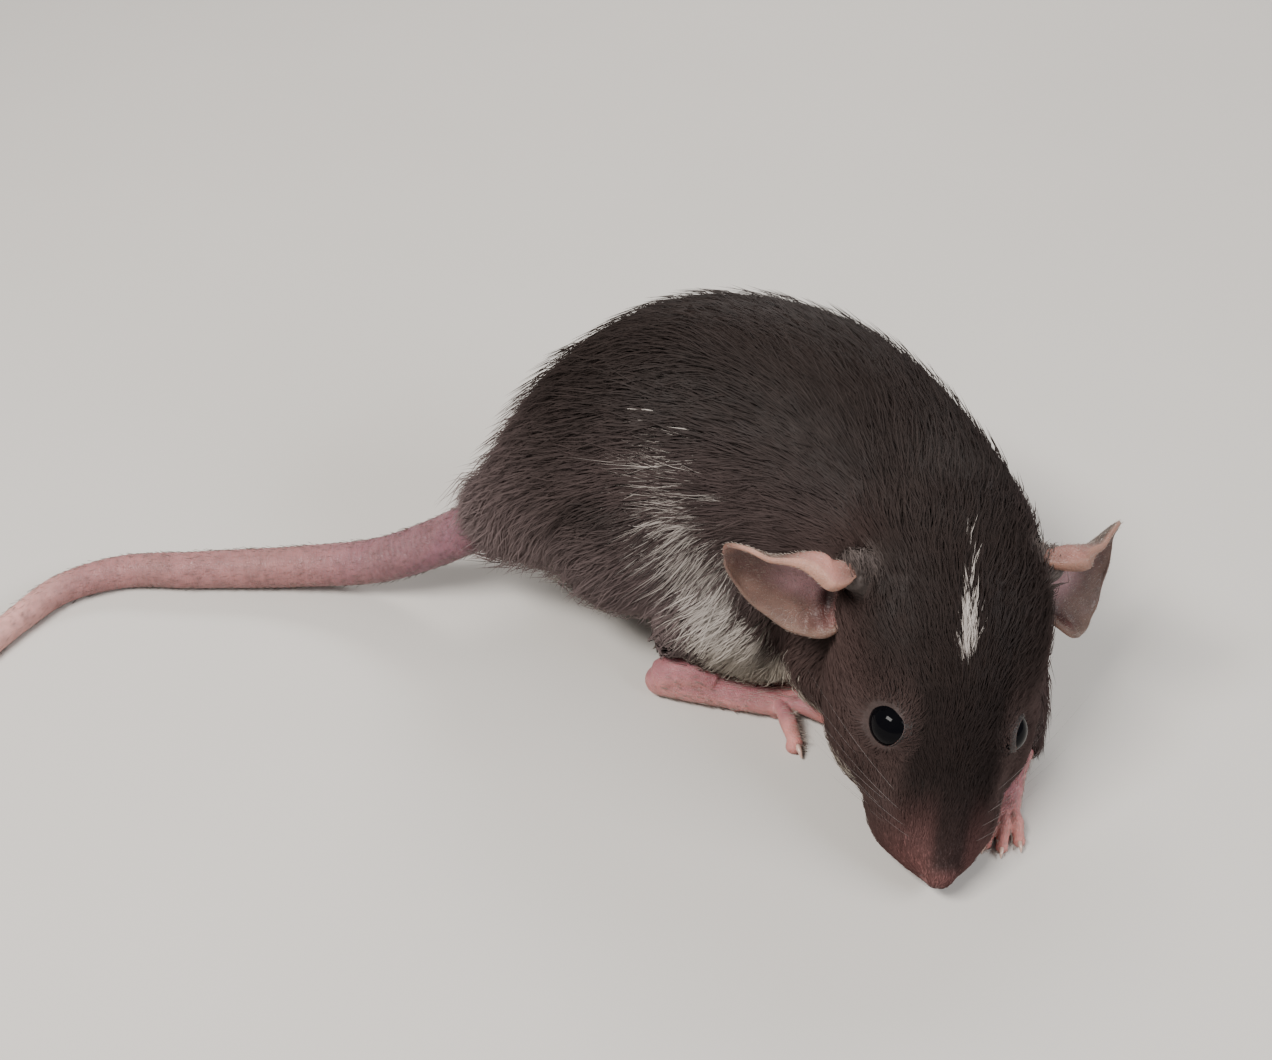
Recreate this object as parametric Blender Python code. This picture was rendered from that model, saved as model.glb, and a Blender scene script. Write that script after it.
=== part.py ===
"""A young dumbo rat, about four weeks old, hunched on all fours with its head turned right and its nose down.

Metres, +Z up. +X runs from the tail to the head, the rat's right flank faces -Y, and the floor is z = 0.
The body is modelled whole as lofts and balls, fused and smoothed, then parted with thin cuts into its nodes.
"""

import math

import bmesh
import bpy
import numpy as np
from mathutils import Matrix, Vector
from mathutils.bvhtree import BVHTree

MM = 0.001
GAP = 0.3 * MM

FLESH_VOXEL = 0.6 * MM
FLESH_SMOOTHING = 10
PAW_VOXEL = 0.34 * MM
PAW_SMOOTHING = 2
HEAD_DETAIL = 6800
BODY_DETAIL = 3300
FOOT_FACES = 520
PAW_FACES = 370
FORE_LEG_FACES = 280

NOSE = Vector((36.0, -55.0, 3.0))
HEAD_HEADING = math.radians(-94)
HEAD_PITCH = math.radians(42)
HEAD_ROLL = math.radians(13)
EYE_RADIUS = 3.0
EYE_PLACE = (18.7, 6.8, 2.3)
LID_RADIUS = 2.5
LID_THICKNESS = 0.5
MOUTH_WIDTH = 0.9
MOUTH_POINTS = 25
# back from the nose tip, out and up, and the half sizes across, along and up
NOSTRIL = (0.2, 1.8, 0.1)
NOSTRIL_RADII = (0.6, 0.9, 0.5)
# back from the nose tip, right of it, up from it, from one corner of the mouth to the other
MOUTH = (
    (12.5, 6.4, -5.2),
    (10.0, 5.2, -5.9),
    (6.4, 3.0, -5.2),
    (3.6, 0.0, -4.2),
    (6.4, -3.0, -5.2),
    (10.0, -5.2, -5.9),
    (12.5, -6.4, -5.2),
)
# the egg that parts a hind leg from the body, on the left side
LEG_CENTRE = (4.5, 22.0, 16.5)
LEG_RADII = (21.0, 13.5, 20.5)

# colour, roughness and the nodes that have them
LOOKS = {
    "coat": ((0.045, 0.034, 0.03, 1), 0.8, ("head", "neck", "torso", "leg_")),
    "skin": ((0.62, 0.38, 0.36, 1), 0.5, ("foot_", "paw_", "tail_", "ear_")),
    "eye": ((0.004, 0.004, 0.005, 1), 0.05, ("eye_",)),
}


def clear_scene():
    for obj in list(bpy.data.objects):
        bpy.data.objects.remove(obj)


def give_looks():
    for look, (colour, roughness, stems) in LOOKS.items():
        material = bpy.data.materials.new(look)
        material.use_nodes = True
        shader = material.node_tree.nodes["Principled BSDF"]
        shader.inputs["Base Color"].default_value = colour
        shader.inputs["Roughness"].default_value = roughness
        for obj in bpy.data.objects:
            if obj.name.startswith(stems):
                obj.data.materials.clear()
                obj.data.materials.append(material)
                obj.data.shade_smooth()
                obj.data.set_sharp_from_angle(angle=math.radians(40))


def object_of(name, bm):
    bm.normal_update()
    bmesh.ops.recalc_face_normals(bm, faces=bm.faces)
    mesh = bpy.data.meshes.new(name)
    bm.to_mesh(mesh)
    bm.free()
    obj = bpy.data.objects.new(name, mesh)
    bpy.context.scene.collection.objects.link(obj)
    return obj


def copy_of(obj, name):
    twin = bpy.data.objects.new(name, obj.data.copy())
    bpy.context.scene.collection.objects.link(twin)
    return twin


def remove(*objects):
    for obj in objects:
        bpy.data.objects.remove(obj)


def apply_modifiers(obj):
    bpy.context.view_layer.update()
    graph = bpy.context.evaluated_depsgraph_get()
    mesh = bpy.data.meshes.new_from_object(obj.evaluated_get(graph))
    obj.modifiers.clear()
    obj.data = mesh
    return obj


def smooth_rows(rows, count):
    """Rows read from a smooth curve through the given rows, spaced evenly along their first three numbers."""
    rows = np.array(rows, float)
    steps = np.linalg.norm(np.diff(rows[:, :3], axis=0), axis=1)
    knots = np.concatenate([[0], np.cumsum(steps)])
    slopes = np.gradient(rows, knots, axis=0)
    at = np.linspace(0, knots[-1], count)
    i = np.clip(np.searchsorted(knots, at, side="right") - 1, 0, len(knots) - 2)
    span = (knots[i + 1] - knots[i])[:, None]
    t = (at - knots[i])[:, None] / span
    h00, h10 = 2 * t**3 - 3 * t**2 + 1, t**3 - 2 * t**2 + t
    h01, h11 = -2 * t**3 + 3 * t**2, t**3 - t**2
    return h00 * rows[i] + h10 * span * slopes[i] + h01 * rows[i + 1] + h11 * span * slopes[i + 1]


def loft(name, rows, rings, sides, up=(0, 0, 1)):
    """A closed tube through rows of x, y, z, half width, rise and drop, in millimetres."""
    rows = smooth_rows(rows, rings)
    centres = rows[:, :3]
    forward = np.gradient(centres, axis=0)
    forward /= np.linalg.norm(forward, axis=1)[:, None]
    side = np.cross(forward, np.array(up, float))
    side /= np.linalg.norm(side, axis=1)[:, None]
    above = np.cross(side, forward)
    bm = bmesh.new()
    loops = []
    for centre, s, u, row in zip(centres, side, above, rows):
        width, rise, drop = np.maximum(row[3:6], 0.05)
        loop = []
        for k in range(sides):
            angle = 2 * math.pi * k / sides
            height = rise if math.sin(angle) > 0 else drop
            point = centre + s * width * math.cos(angle) + u * height * math.sin(angle)
            loop.append(bm.verts.new(Vector(point) * MM))
        loops.append(loop)
    for a, b in zip(loops, loops[1:]):
        for k in range(sides):
            bm.faces.new((a[k], a[(k + 1) % sides], b[(k + 1) % sides], b[k]))
    for end, way in ((0, -forward[0]), (-1, forward[-1])):
        loop = loops[end]
        pole = bm.verts.new(Vector(centres[end] + way * 0.6 * min(rows[end][3:5])) * MM)
        for k in range(sides):
            bm.faces.new((loop[k], loop[(k + 1) % sides], pole))
    return object_of(name, bm)


def ball(name, centre, radii, turn=None, divisions=4):
    bm = bmesh.new()
    bmesh.ops.create_icosphere(bm, subdivisions=divisions, radius=1)
    place = Matrix.Translation(Vector(centre) * MM) @ (turn or Matrix.Identity(3)).to_4x4()
    bm.transform(place @ Matrix.Diagonal((*[r * MM for r in radii], 1)))
    return object_of(name, bm)


def limb(name, points, sides=16, rings=4):
    """A round tube through rows of x, y, z and radius, with a few rings for each row."""
    rows = [(x, y, z, r, r, r) for x, y, z, r in points]
    return loft(name, rows, rings * len(points), sides, up=(0.02, 0.03, 1))


def fuse(name, pieces, voxel, smoothing):
    """Joins overlapping closed pieces into one smooth surface."""
    bm = bmesh.new()
    for piece in pieces:
        bm.from_mesh(piece.data)
    remove(*pieces)
    obj = object_of(name, bm)
    remesh = obj.modifiers.new("Remesh", "REMESH")
    remesh.mode = "VOXEL"
    remesh.voxel_size = voxel
    smooth = obj.modifiers.new("Smooth", "SMOOTH")
    smooth.factor = 0.5
    smooth.iterations = smoothing
    return apply_modifiers(obj)


def thin_out(obj, faces):
    decimate = obj.modifiers.new("Decimate", "DECIMATE")
    obj.data.calc_loop_triangles()
    decimate.ratio = min(1.0, faces / len(obj.data.loop_triangles))
    return apply_modifiers(obj)


def boolean(obj, other, operation, solver="EXACT"):
    cut = obj.modifiers.new("Boolean", "BOOLEAN")
    cut.operation = operation
    cut.solver = solver
    cut.object = other
    return apply_modifiers(obj)


def keep_largest(obj):
    """Drops every loose scrap and sealed hollow, and leaves the largest closed surface."""
    bm = bmesh.new()
    bm.from_mesh(obj.data)
    bmesh.ops.triangulate(bm, faces=bm.faces)
    bmesh.ops.remove_doubles(bm, verts=bm.verts, dist=1e-6)
    seen, islands = set(), []
    for start in bm.faces:
        if start in seen:
            continue
        island, queue = [], [start]
        seen.add(start)
        while queue:
            face = queue.pop()
            island.append(face)
            for edge in face.edges:
                for other in edge.link_faces:
                    if other not in seen:
                        seen.add(other)
                        queue.append(other)
        islands.append(island)
    islands.sort(key=len)
    scraps = [face for island in islands[:-1] for face in island]
    bmesh.ops.delete(bm, geom=scraps, context="FACES")
    bm.to_mesh(obj.data)
    bm.free()
    return obj


def grown(obj, name, by):
    """A copy whose surface stands out by a little, for cutting a neighbour with a gap."""
    twin = copy_of(obj, name)
    displace = twin.modifiers.new("Displace", "DISPLACE")
    displace.strength = by
    displace.mid_level = 0
    return apply_modifiers(twin)


def clear_of(obj, neighbour):
    """Cuts a node back from its neighbour. The exact solver loses a leg here, so the manifold one is used."""
    cutter = grown(neighbour, "cutter", GAP)
    boolean(obj, cutter, "DIFFERENCE", "MANIFOLD")
    remove(cutter)
    return keep_largest(obj)


def slice_off(obj, point, normal):
    """Keeps the side of a plane that its normal points to, with the cut closed."""
    bm = bmesh.new()
    bm.from_mesh(obj.data)
    bmesh.ops.bisect_plane(
        bm,
        geom=bm.verts[:] + bm.edges[:] + bm.faces[:],
        dist=1e-7,
        plane_co=Vector(point) * MM,
        plane_no=normal,
        clear_inner=True,
    )
    edges = [e for e in bm.edges if e.is_boundary]
    bmesh.ops.holes_fill(bm, edges=edges)
    bmesh.ops.triangulate(bm, faces=bm.faces)
    bm.to_mesh(obj.data)
    bm.free()
    return obj


def head_axes():
    """The rat's forward, right and up directions at the head."""
    ch, sh = math.cos(HEAD_HEADING), math.sin(HEAD_HEADING)
    forward = Vector((math.cos(HEAD_PITCH) * ch, math.cos(HEAD_PITCH) * sh, -math.sin(HEAD_PITCH)))
    level_right = Vector((sh, -ch, 0))
    level_up = level_right.cross(forward)
    right = level_right * math.cos(HEAD_ROLL) + level_up * math.sin(HEAD_ROLL)
    up = level_up * math.cos(HEAD_ROLL) - level_right * math.sin(HEAD_ROLL)
    return forward, right, up


FORWARD, RIGHT, UP = head_axes()


def on_head(back, right, up):
    """A point of the head from its distances behind the nose tip, to the right of it and above it."""
    return NOSE - FORWARD * back + RIGHT * right + UP * up


def head_turn():
    return Matrix((RIGHT, -FORWARD, UP)).transposed()


# x, y, z, half width, rise, drop
TRUNK = (
    (-22.0, -1.0, 14.8, 3.6, 3.4, 3.6),
    (-17.6, -1.0, 16.8, 6.3, 5.8, 7.0),
    (-10.8, -0.8, 19.8, 11.5, 11.4, 13.0),
    (-2.0, -0.3, 23.0, 15.9, 17.2, 17.0),
    (8.0, 0.0, 26.0, 19.2, 20.9, 21.0),
    (19.2, -2.5, 26.6, 19.6, 20.8, 21.0),
    (28.8, -10.0, 26.3, 17.6, 18.6, 18.5),
    (35.4, -18.2, 26.0, 14.9, 14.6, 14.0),
    (39.2, -26.8, 26.6, 12.6, 11.9, 11.0),
)

# back from the nose tip, up from it, half width, rise, drop
HEAD = (
    (0.5, -0.1, 1.7, 1.5, 1.7),
    (2.2, -0.3, 2.9, 2.4, 2.9),
    (4.8, -0.5, 4.4, 3.4, 4.1),
    (8.0, -0.7, 6.0, 4.5, 5.4),
    (12.0, -0.9, 7.7, 5.9, 6.9),
    (16.0, -0.9, 9.3, 7.5, 8.4),
    (20.0, -0.9, 10.8, 8.9, 9.4),
    (25.0, -0.9, 12.6, 10.1, 10.2),
    (31.0, -0.9, 13.6, 10.9, 10.6),
    (37.0, -1.3, 13.2, 10.5, 10.4),
    (42.0, -2.2, 11.6, 8.6, 9.2),
)

# x, y, z, radius
TAIL = (
    (-16.0, -1.0, 16.4, 3.7),
    (-21.5, -0.9, 14.0, 3.5),
    (-28.0, -0.3, 10.0, 3.4),
    (-35.5, 0.6, 6.2, 3.25),
    (-48.7, 2.2, 3.3, 3.0),
    (-63.0, 2.3, 2.55, 2.7),
    (-76.0, 1.8, 2.2, 2.35),
    (-82.5, -1.4, 2.0, 2.15),
    (-87.0, -7.5, 1.8, 1.95),
    (-92.0, -16.0, 1.5, 1.65),
    (-99.0, -23.0, 1.1, 1.25),
    (-108.0, -27.5, 0.7, 0.8),
)


# x, y on the left side, z, radius, from the knee down to the heel
SHANK = (
    (17.0, 18.2, 12.0, 7.2),
    (11.0, 18.3, 12.8, 6.2),
    (6.8, 18.5, 10.4, 4.9),
    (4.4, 19.2, 6.6, 2.9),
)

# mirrored lumps of the head: back from the nose tip, right, up, then half sizes across, along and up
HEAD_LUMPS = {
    "jowl": ((22.5, 7.0, -4.2), (6.6, 12.0, 6.8)),
    "lip": ((10.8, 4.4, -2.6), (4.3, 7.6, 3.7)),
    "pad": ((6.6, 2.8, -1.9), (3.0, 4.2, 3.1)),
}
MIDDLE_LUMPS = {
    "nose": ((1.4, 0, 0.4), (2.2, 2.2, 1.8)),
    "jaw": ((14.0, 0, -6.6), (3.8, 8.6, 3.0)),
}
# mirrored lumps of the hind quarters, on the left side, and the belly's one on the right: x, y, z, half sizes
LEG_LUMPS = {
    "thigh": ((3.0, 11.2, 20.5), (13.6, 9.2, 12.4)),
    "haunch": ((11.0, 14.6, 15.0), (10.4, 8.0, 9.4)),
    "knee": ((19.5, 18.0, 9.6), (6.6, 5.0, 7.2)),
}
BELLY = ((20.5, -12.5, 13.2), (13.0, 10.0, 10.0))

# the head's cut runs through two places behind the nose tip, and the neck's one through a place of the body
HEAD_CUT_TOP = (47, 0, 10)
HEAD_CUT_THROAT = (31, 0, -14)
NECK_CUT_PLACE = (31.0, -14.5, 26.0)
NECK_CUT_WAY = (0.555, -0.83, 0)

# where the tail is parted, and the way it runs there
TAIL_CUTS = (
    ((-44.0, 1.7, 3.0), (-1.0, 0.1, 0)),
    ((-70.0, 2.1, 2.0), (-1.0, -0.05, 0)),
    ((-92.0, -16.0, 1.5), (-0.6, -0.8, 0)),
)


def trunk():
    return loft("trunk", TRUNK, 40, 40)


def skull():
    rows = [(*on_head(back, 0, up), width, rise, drop) for back, up, width, rise, drop in HEAD]
    return loft("skull", rows, 36, 36, up=UP)


def flesh():
    """The trunk, head, thighs and shanks as one smooth surface."""
    turn = head_turn()
    pieces = [trunk(), skull()]
    for side in (1, -1):
        for name, ((back, right, up), radii) in HEAD_LUMPS.items():
            pieces.append(ball(name, on_head(back, right * side, up), radii, turn))
        for name, ((x, y, z), radii) in LEG_LUMPS.items():
            pieces.append(ball(name, (x, y * side, z), radii))
        pieces.append(limb("shank", [(x, y * side, z, r) for x, y, z, r in SHANK]))
    for name, (place, radii) in MIDDLE_LUMPS.items():
        pieces.append(ball(name, on_head(*place), radii, turn))
    pieces.append(ball("belly", *BELLY))
    return fuse("flesh", pieces, FLESH_VOXEL, FLESH_SMOOTHING)


# where each foot's heel stands, its heading in degrees and whether it is a left one
HIND_FEET = {
    "foot_hind_right": ((2.4, -19.6, 0), -11, False),
    "foot_hind_left": ((5.5, 19.4, 0), -8, True),
}
FORE_PAWS = {
    "paw_fore_right": ((33.0, -31.0, 0), -70, False),
    "paw_fore_left": ((47.6, -37.8, 0), -110, True),
}
# forward of the heel and outwards, on a left foot
HIND_PADS = ((16.6, -1.8), (18.8, 0.0), (17.0, 1.7), (11.5, 1.4))
HIND_TOE_RADIUS = 1.05
HIND_TOE_HEIGHT = 1.9
FORE_TOE_RADIUS = 0.78
FORE_TOE_HEIGHT = 1.45
# x, y, z, radius from the shoulder over the elbow to the wrist
ARM_RIGHT = (
    (31.0, -20.0, 20.0, 6.6),
    (24.4, -24.0, 9.0, 4.8),
    (28.0, -27.6, 5.6, 3.2),
    (32.6, -30.6, 3.4, 2.2),
)
ARM_LEFT = (
    (42.0, -14.0, 19.0, 7.0),
    (49.0, -20.0, 10.5, 4.6),
    (50.4, -28.5, 7.0, 3.0),
    (49.2, -35.4, 4.4, 2.2),
)
# root forward of the heel, root outwards, length, splay outwards in degrees
HIND_TOES = (
    (14.4, -2.1, 4.8, -12),
    (18.2, -1.7, 7.4, -2),
    (18.8, -0.3, 8.0, 3),
    (18.4, 1.1, 7.2, 9),
    (17.6, 2.1, 5.8, 62),
)
FORE_TOES = (
    (4.6, -1.4, 4.0, -20),
    (5.4, -0.5, 4.7, -6),
    (5.4, 0.5, 4.6, 7),
    (4.6, 1.5, 3.9, 21),
)


# along the toe as a share of its length, lift of the centre and girth, both as shares of the radius
TOE_ARCH = ((-0.25, 0.0, 0.95), (0.15, 0.35, 0.95), (0.45, 0.25, 1.12), (0.75, -0.5, 0.95), (1.0, -1.0, 0.95))
# ahead of the toe's tip, rise and girth, all as shares of the toe's radius
CLAW_BEND = ((0.35, 0.25, 0.42), (1.25, 0.10, 0.30), (1.95, -0.35, 0.10))


def toe(forward, outward, length, splay, radius, height):
    """Rows of a toe that arches from its root down to the floor, and of its claw."""
    way = Vector((math.cos(math.radians(splay)), math.sin(math.radians(splay)), 0))
    root = Vector((forward, outward, height))
    fall = height - radius * 0.85
    rows = []
    for share, lift, girth in TOE_ARCH:
        centre = root + way * (length * share)
        centre.z += lift * (fall if lift < 0 else radius)
        rows.append((*centre, radius * girth))
    tip = Vector(rows[-1][:3])
    claw = []
    for ahead, rise, girth in CLAW_BEND:
        centre = tip + way * (ahead * radius)
        centre.z += rise * radius
        claw.append((*centre, girth * radius))
    return rows, claw


def put_down(obj, origin, heading, left):
    """Turns a foot about its heel. It is modelled as a left one, so a right one is mirrored first."""
    turn = Matrix.Rotation(math.radians(heading), 4, "Z")
    mirror = Matrix.Diagonal((1, 1 if left else -1, 1, 1))
    bm = bmesh.new()
    bm.from_mesh(obj.data)
    bm.transform(Matrix.Translation(Vector(origin) * MM) @ turn @ mirror)
    bm.normal_update()
    bmesh.ops.recalc_face_normals(bm, faces=bm.faces)
    bm.to_mesh(obj.data)
    bm.free()
    return obj


def paw_of(name, soft, toes, radius, height, origin, heading, left, faces):
    """A foot of soft pieces and toes with claws, cut flat at the floor."""
    pieces, claws = soft, []
    for forward, outward, length, splay in toes:
        rows, claw = toe(forward, outward, length, splay, radius, height)
        pieces.append(limb("toe", rows, 14))
        pad = Vector(rows[-1][:3]) - Vector((0.3 * radius, 0, 0.25 * radius))
        pieces.append(ball("pad", pad, (radius * 1.05,) * 3, divisions=3))
        claws.append(limb("claw", claw, 5, rings=2))
    foot = fuse(name, pieces, PAW_VOXEL, PAW_SMOOTHING)
    thin_out(foot, faces)
    for claw in claws:
        boolean(foot, claw, "UNION")
    remove(*claws)
    slice_off(foot, (0, 0, 0), (0, 0, 1))
    return put_down(keep_largest(foot), origin, heading, left)


def hind_foot(name, origin, heading, left):
    sole = (
        (0.3, 0, 2.5, 1.9, 1.9, 2.5),
        (3.5, 0, 2.3, 2.5, 2.2, 2.4),
        (9.0, 0, 2.1, 2.7, 1.9, 2.2),
        (15.5, 0, 1.9, 3.0, 1.6, 2.0),
        (19.6, 0, 1.6, 2.6, 1.1, 1.6),
    )
    soft = [
        loft("sole", sole, 16, 20),
        limb("ankle", ((1.4, 0, 2.8, 2.2), (2.6, -0.1, 4.6, 2.4), (4.6, -0.2, 6.6, 2.7))),
        ball("heel", (1.2, 0, 2.2), (2.4, 2.1, 2.3)),
    ]
    soft += [ball("pad", (x, y, 0.9), (1.2, 1.0, 1.0), divisions=3) for x, y in HIND_PADS]
    toes = (HIND_TOES, HIND_TOE_RADIUS, HIND_TOE_HEIGHT)
    return paw_of(name, soft, *toes, origin, heading, left, FOOT_FACES)


def fore_paw(name, origin, heading, left):
    palm = (
        (-1.0, 0, 2.6, 1.8, 1.8, 1.8),
        (2.0, 0, 1.9, 2.0, 1.5, 1.8),
        (5.0, 0, 1.5, 2.1, 1.1, 1.5),
        (6.4, 0, 1.3, 1.8, 0.9, 1.2),
    )
    soft = [
        loft("palm", palm, 12, 16),
        limb("wrist", ((0.5, 0, 2.6, 1.8), (-1.2, 0, 3.9, 1.9), (-3.0, 0, 5.2, 2.1))),
        ball("thumb", (2.8, -1.8, 1.0), (1.0, 0.8, 0.8), divisions=3),
    ]
    toes = (FORE_TOES, FORE_TOE_RADIUS, FORE_TOE_HEIGHT)
    return paw_of(name, soft, *toes, origin, heading, left, PAW_FACES)


# distance out, rear edge, front edge, half angle of the rolled section in degrees
EAR_SECTIONS = (
    (-4.5, 2.2, -2.2, 70),
    (0.0, 3.8, -3.6, 98),
    (3.2, 5.0, -6.2, 84),
    (6.3, 5.9, -7.8, 64),
    (9.4, 6.6, -7.5, 50),
    (11.9, 7.2, -6.1, 40),
    (14.1, 6.7, -3.8, 32),
    (15.4, 5.7, -1.1, 27),
    (16.0, 4.4, 1.1, 25),
)
EAR_THICKNESS = 0.9
EAR_ROWS = 12
EAR_SPOKES = 13
EAR_SINK = 1.5
# each ear's root behind the nose tip, right of it and above it, then the way out along the ear and the way
# it opens, as shares of the head's forward, right and up
EAR_RIGHT = ((34.2, 12.4, 2.4), (-0.07, 0.97, -0.22), (0.89, 0.23, 0.40))
EAR_LEFT = ((36.6, -12.4, 0.8), (-0.33, -0.80, -0.42), (0.52, -0.63, 0.58))


def ear(name, place, along, opening):
    """A thin shell rolled into a funnel at its root, open towards its opening direction."""
    root = on_head(*place)
    along, opening = (FORWARD * way[0] + RIGHT * way[1] + UP * way[2] for way in (along, opening))
    along = along.normalized()
    opening = (opening - along * opening.dot(along)).normalized()
    rearward = along.cross(opening)
    if rearward.dot(FORWARD) > 0:
        rearward = -rearward
    bm = bmesh.new()
    grid = []
    for out, rear, front, roll in smooth_rows(EAR_SECTIONS, EAR_ROWS):
        angle = math.radians(roll)
        radius = (rear - front) / 2 / math.sin(min(angle, math.pi / 2))
        floor = root + along * out + rearward * ((rear + front) / 2)
        loop = []
        for k in range(EAR_SPOKES):
            turn = angle * (2 * k / (EAR_SPOKES - 1) - 1)
            rise = radius * (1 - math.cos(turn)) - EAR_SINK
            point = floor + rearward * (radius * math.sin(turn)) + opening * rise
            loop.append(bm.verts.new(point * MM))
        grid.append(loop)
    for a, b in zip(grid, grid[1:]):
        for k in range(EAR_SPOKES - 1):
            bm.faces.new((a[k], a[k + 1], b[k + 1], b[k]))
    bmesh.ops.triangulate(bm, faces=bm.faces)
    shell = object_of(name, bm)
    thick = shell.modifiers.new("Solidify", "SOLIDIFY")
    thick.thickness = EAR_THICKNESS * MM
    thick.offset = 0
    return apply_modifiers(shell)


def eyeball(side):
    back, right, up = EYE_PLACE
    name = "eye_right" if side > 0 else "eye_left"
    return ball(name, on_head(back, right * side, up), (EYE_RADIUS,) * 3, divisions=3)


def gaze(side):
    return (RIGHT * (0.88 * side) + UP * 0.42 + FORWARD * 0.2).normalized()


def lid(side, rings=24, sides=6):
    """The ring of the upper and lower lid, lying on the eyeball."""
    axis = gaze(side)
    bm = bmesh.new()
    across = axis.orthogonal().normalized()
    beyond = axis.cross(across)
    back, right, up = EYE_PLACE
    centre = on_head(back, right * side, up) + axis * math.sqrt(EYE_RADIUS**2 - LID_RADIUS**2)
    grid = []
    for i in range(rings):
        turn = 2 * math.pi * i / rings
        out = across * math.cos(turn) + beyond * math.sin(turn)
        loop = []
        for k in range(sides):
            around = 2 * math.pi * k / sides
            offset = out * math.cos(around) + axis * math.sin(around)
            loop.append(bm.verts.new((centre + out * LID_RADIUS + offset * LID_THICKNESS) * MM))
        grid.append(loop)
    for i in range(rings):
        for k in range(sides):
            a, b = grid[i], grid[(i + 1) % rings]
            bm.faces.new((a[k], a[(k + 1) % sides], b[(k + 1) % sides], b[k]))
    return object_of("lid", bm)


def mouth_line(surface):
    """The groove between the lips, laid on the surface of the head."""
    points = [nearest(surface, *row) for row in smooth_rows(MOUTH, MOUTH_POINTS)]
    return limb("mouth", [(*point, MOUTH_WIDTH / 2) for point in points], 6, rings=1)


def nearest(surface, back, right, up):
    """The point of the head's surface nearest to a place, in millimetres."""
    return surface.find_nearest(on_head(back, right, up) * MM)[0] / MM


def cut_planes():
    """Point and normal of the cut behind the head and of the one behind the neck."""
    top, throat = on_head(*HEAD_CUT_TOP), on_head(*HEAD_CUT_THROAT)
    behind_head = (throat - top).cross(RIGHT).normalized()
    if behind_head.dot(FORWARD) < 0:
        behind_head = -behind_head
    return (top, behind_head), (Vector(NECK_CUT_PLACE), Vector(NECK_CUT_WAY).normalized())


def leg_region(name, side, margin=0.0):
    """The egg-shaped part of the body that goes with a hind leg: its thigh, knee and shank."""
    x, y, z = LEG_CENTRE
    return ball(name, (x, y * -side, z), [r + margin for r in LEG_RADII], divisions=3)


def parted(obj, name, point, normal):
    """The part of a copy that lies on the normal's side of a plane, half a gap away from it."""
    piece = copy_of(obj, name)
    slice_off(piece, Vector(point) + Vector(normal) * (GAP / MM / 2), normal)
    return keep_largest(piece)


def body_nodes():
    """Head, neck, torso and hind legs, all cut from one surface."""
    whole = flesh()
    fine = thin_out(copy_of(whole, "fine"), HEAD_DETAIL)
    coarse = thin_out(whole, BODY_DETAIL)
    for side, name in ((1, "leg_hind_right"), (-1, "leg_hind_left")):
        leg = copy_of(coarse, name)
        region = leg_region("region", side)
        boolean(leg, region, "INTERSECT")
        remove(region)
        keep_largest(leg)
    for side in (1, -1):
        region = leg_region("region", side, GAP / MM)
        boolean(coarse, region, "DIFFERENCE")
        remove(region)
    keep_largest(coarse)
    head_cut, neck_cut = cut_planes()
    parted(fine, "head", *head_cut)
    rest = parted(coarse, "rest", head_cut[0], -head_cut[1])
    parted(rest, "neck", *neck_cut)
    parted(rest, "torso", neck_cut[0], -neck_cut[1])
    remove(fine, coarse, rest)


def face_of_head(head):
    """Lids, eye sockets, nostrils and the line of the mouth."""
    surface = BVHTree.FromObject(head, bpy.context.evaluated_depsgraph_get())
    for side in (1, -1):
        ring = lid(side)
        boolean(head, ring, "UNION")
        remove(ring)
    for side in (1, -1):
        clear_of(head, bpy.data.objects["eye_right" if side > 0 else "eye_left"])
        back, right, up = NOSTRIL
        middle = nearest(surface, back, right * side, up)
        nostril = ball("nostril", middle, NOSTRIL_RADII, head_turn(), divisions=2)
        boolean(head, nostril, "DIFFERENCE")
        remove(nostril)
    groove = mouth_line(surface)
    boolean(head, groove, "DIFFERENCE")
    remove(groove)
    return keep_largest(head)


def tail_nodes():
    """The tail, flat underneath where it lies on the floor, parted into lengths."""
    whole = limb("tail", TAIL, 12, rings=3)
    slice_off(whole, (0, 0, 0), (0, 0, 1))
    clear_of(whole, bpy.data.objects["torso"])
    rest = whole
    for i, (point, way) in enumerate(TAIL_CUTS):
        way = Vector(way).normalized()
        parted(rest, f"tail_{i + 1}", point, -way)
        beyond = parted(rest, "beyond", point, way)
        remove(rest)
        rest = beyond
    rest.name = f"tail_{len(TAIL_CUTS) + 1}"


def fore_leg(name, joints):
    """A front leg from the shoulder, which lies inside the chest, to the wrist."""
    leg = fuse(name, [limb("arm", joints), ball("elbow", joints[1][:3], (joints[1][3],) * 3)], FLESH_VOXEL, 3)
    return thin_out(leg, FORE_LEG_FACES)


def stand_on_origin():
    """Moves everything so that the middle of the whole box stands on the origin."""
    corners = [obj.matrix_world @ Vector(corner) for obj in bpy.data.objects for corner in obj.bound_box]
    low = Vector([min(c[i] for c in corners) for i in range(3)])
    high = Vector([max(c[i] for c in corners) for i in range(3)])
    shift = Vector((-(low.x + high.x) / 2, -(low.y + high.y) / 2, -low.z))
    for obj in bpy.data.objects:
        obj.data.transform(Matrix.Translation(shift))
    bpy.context.scene["part_shift"] = shift
    print("size in mm", [round(x / MM, 1) for x in high - low])
    print("shift in mm", [round(x / MM, 2) for x in shift])


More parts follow.
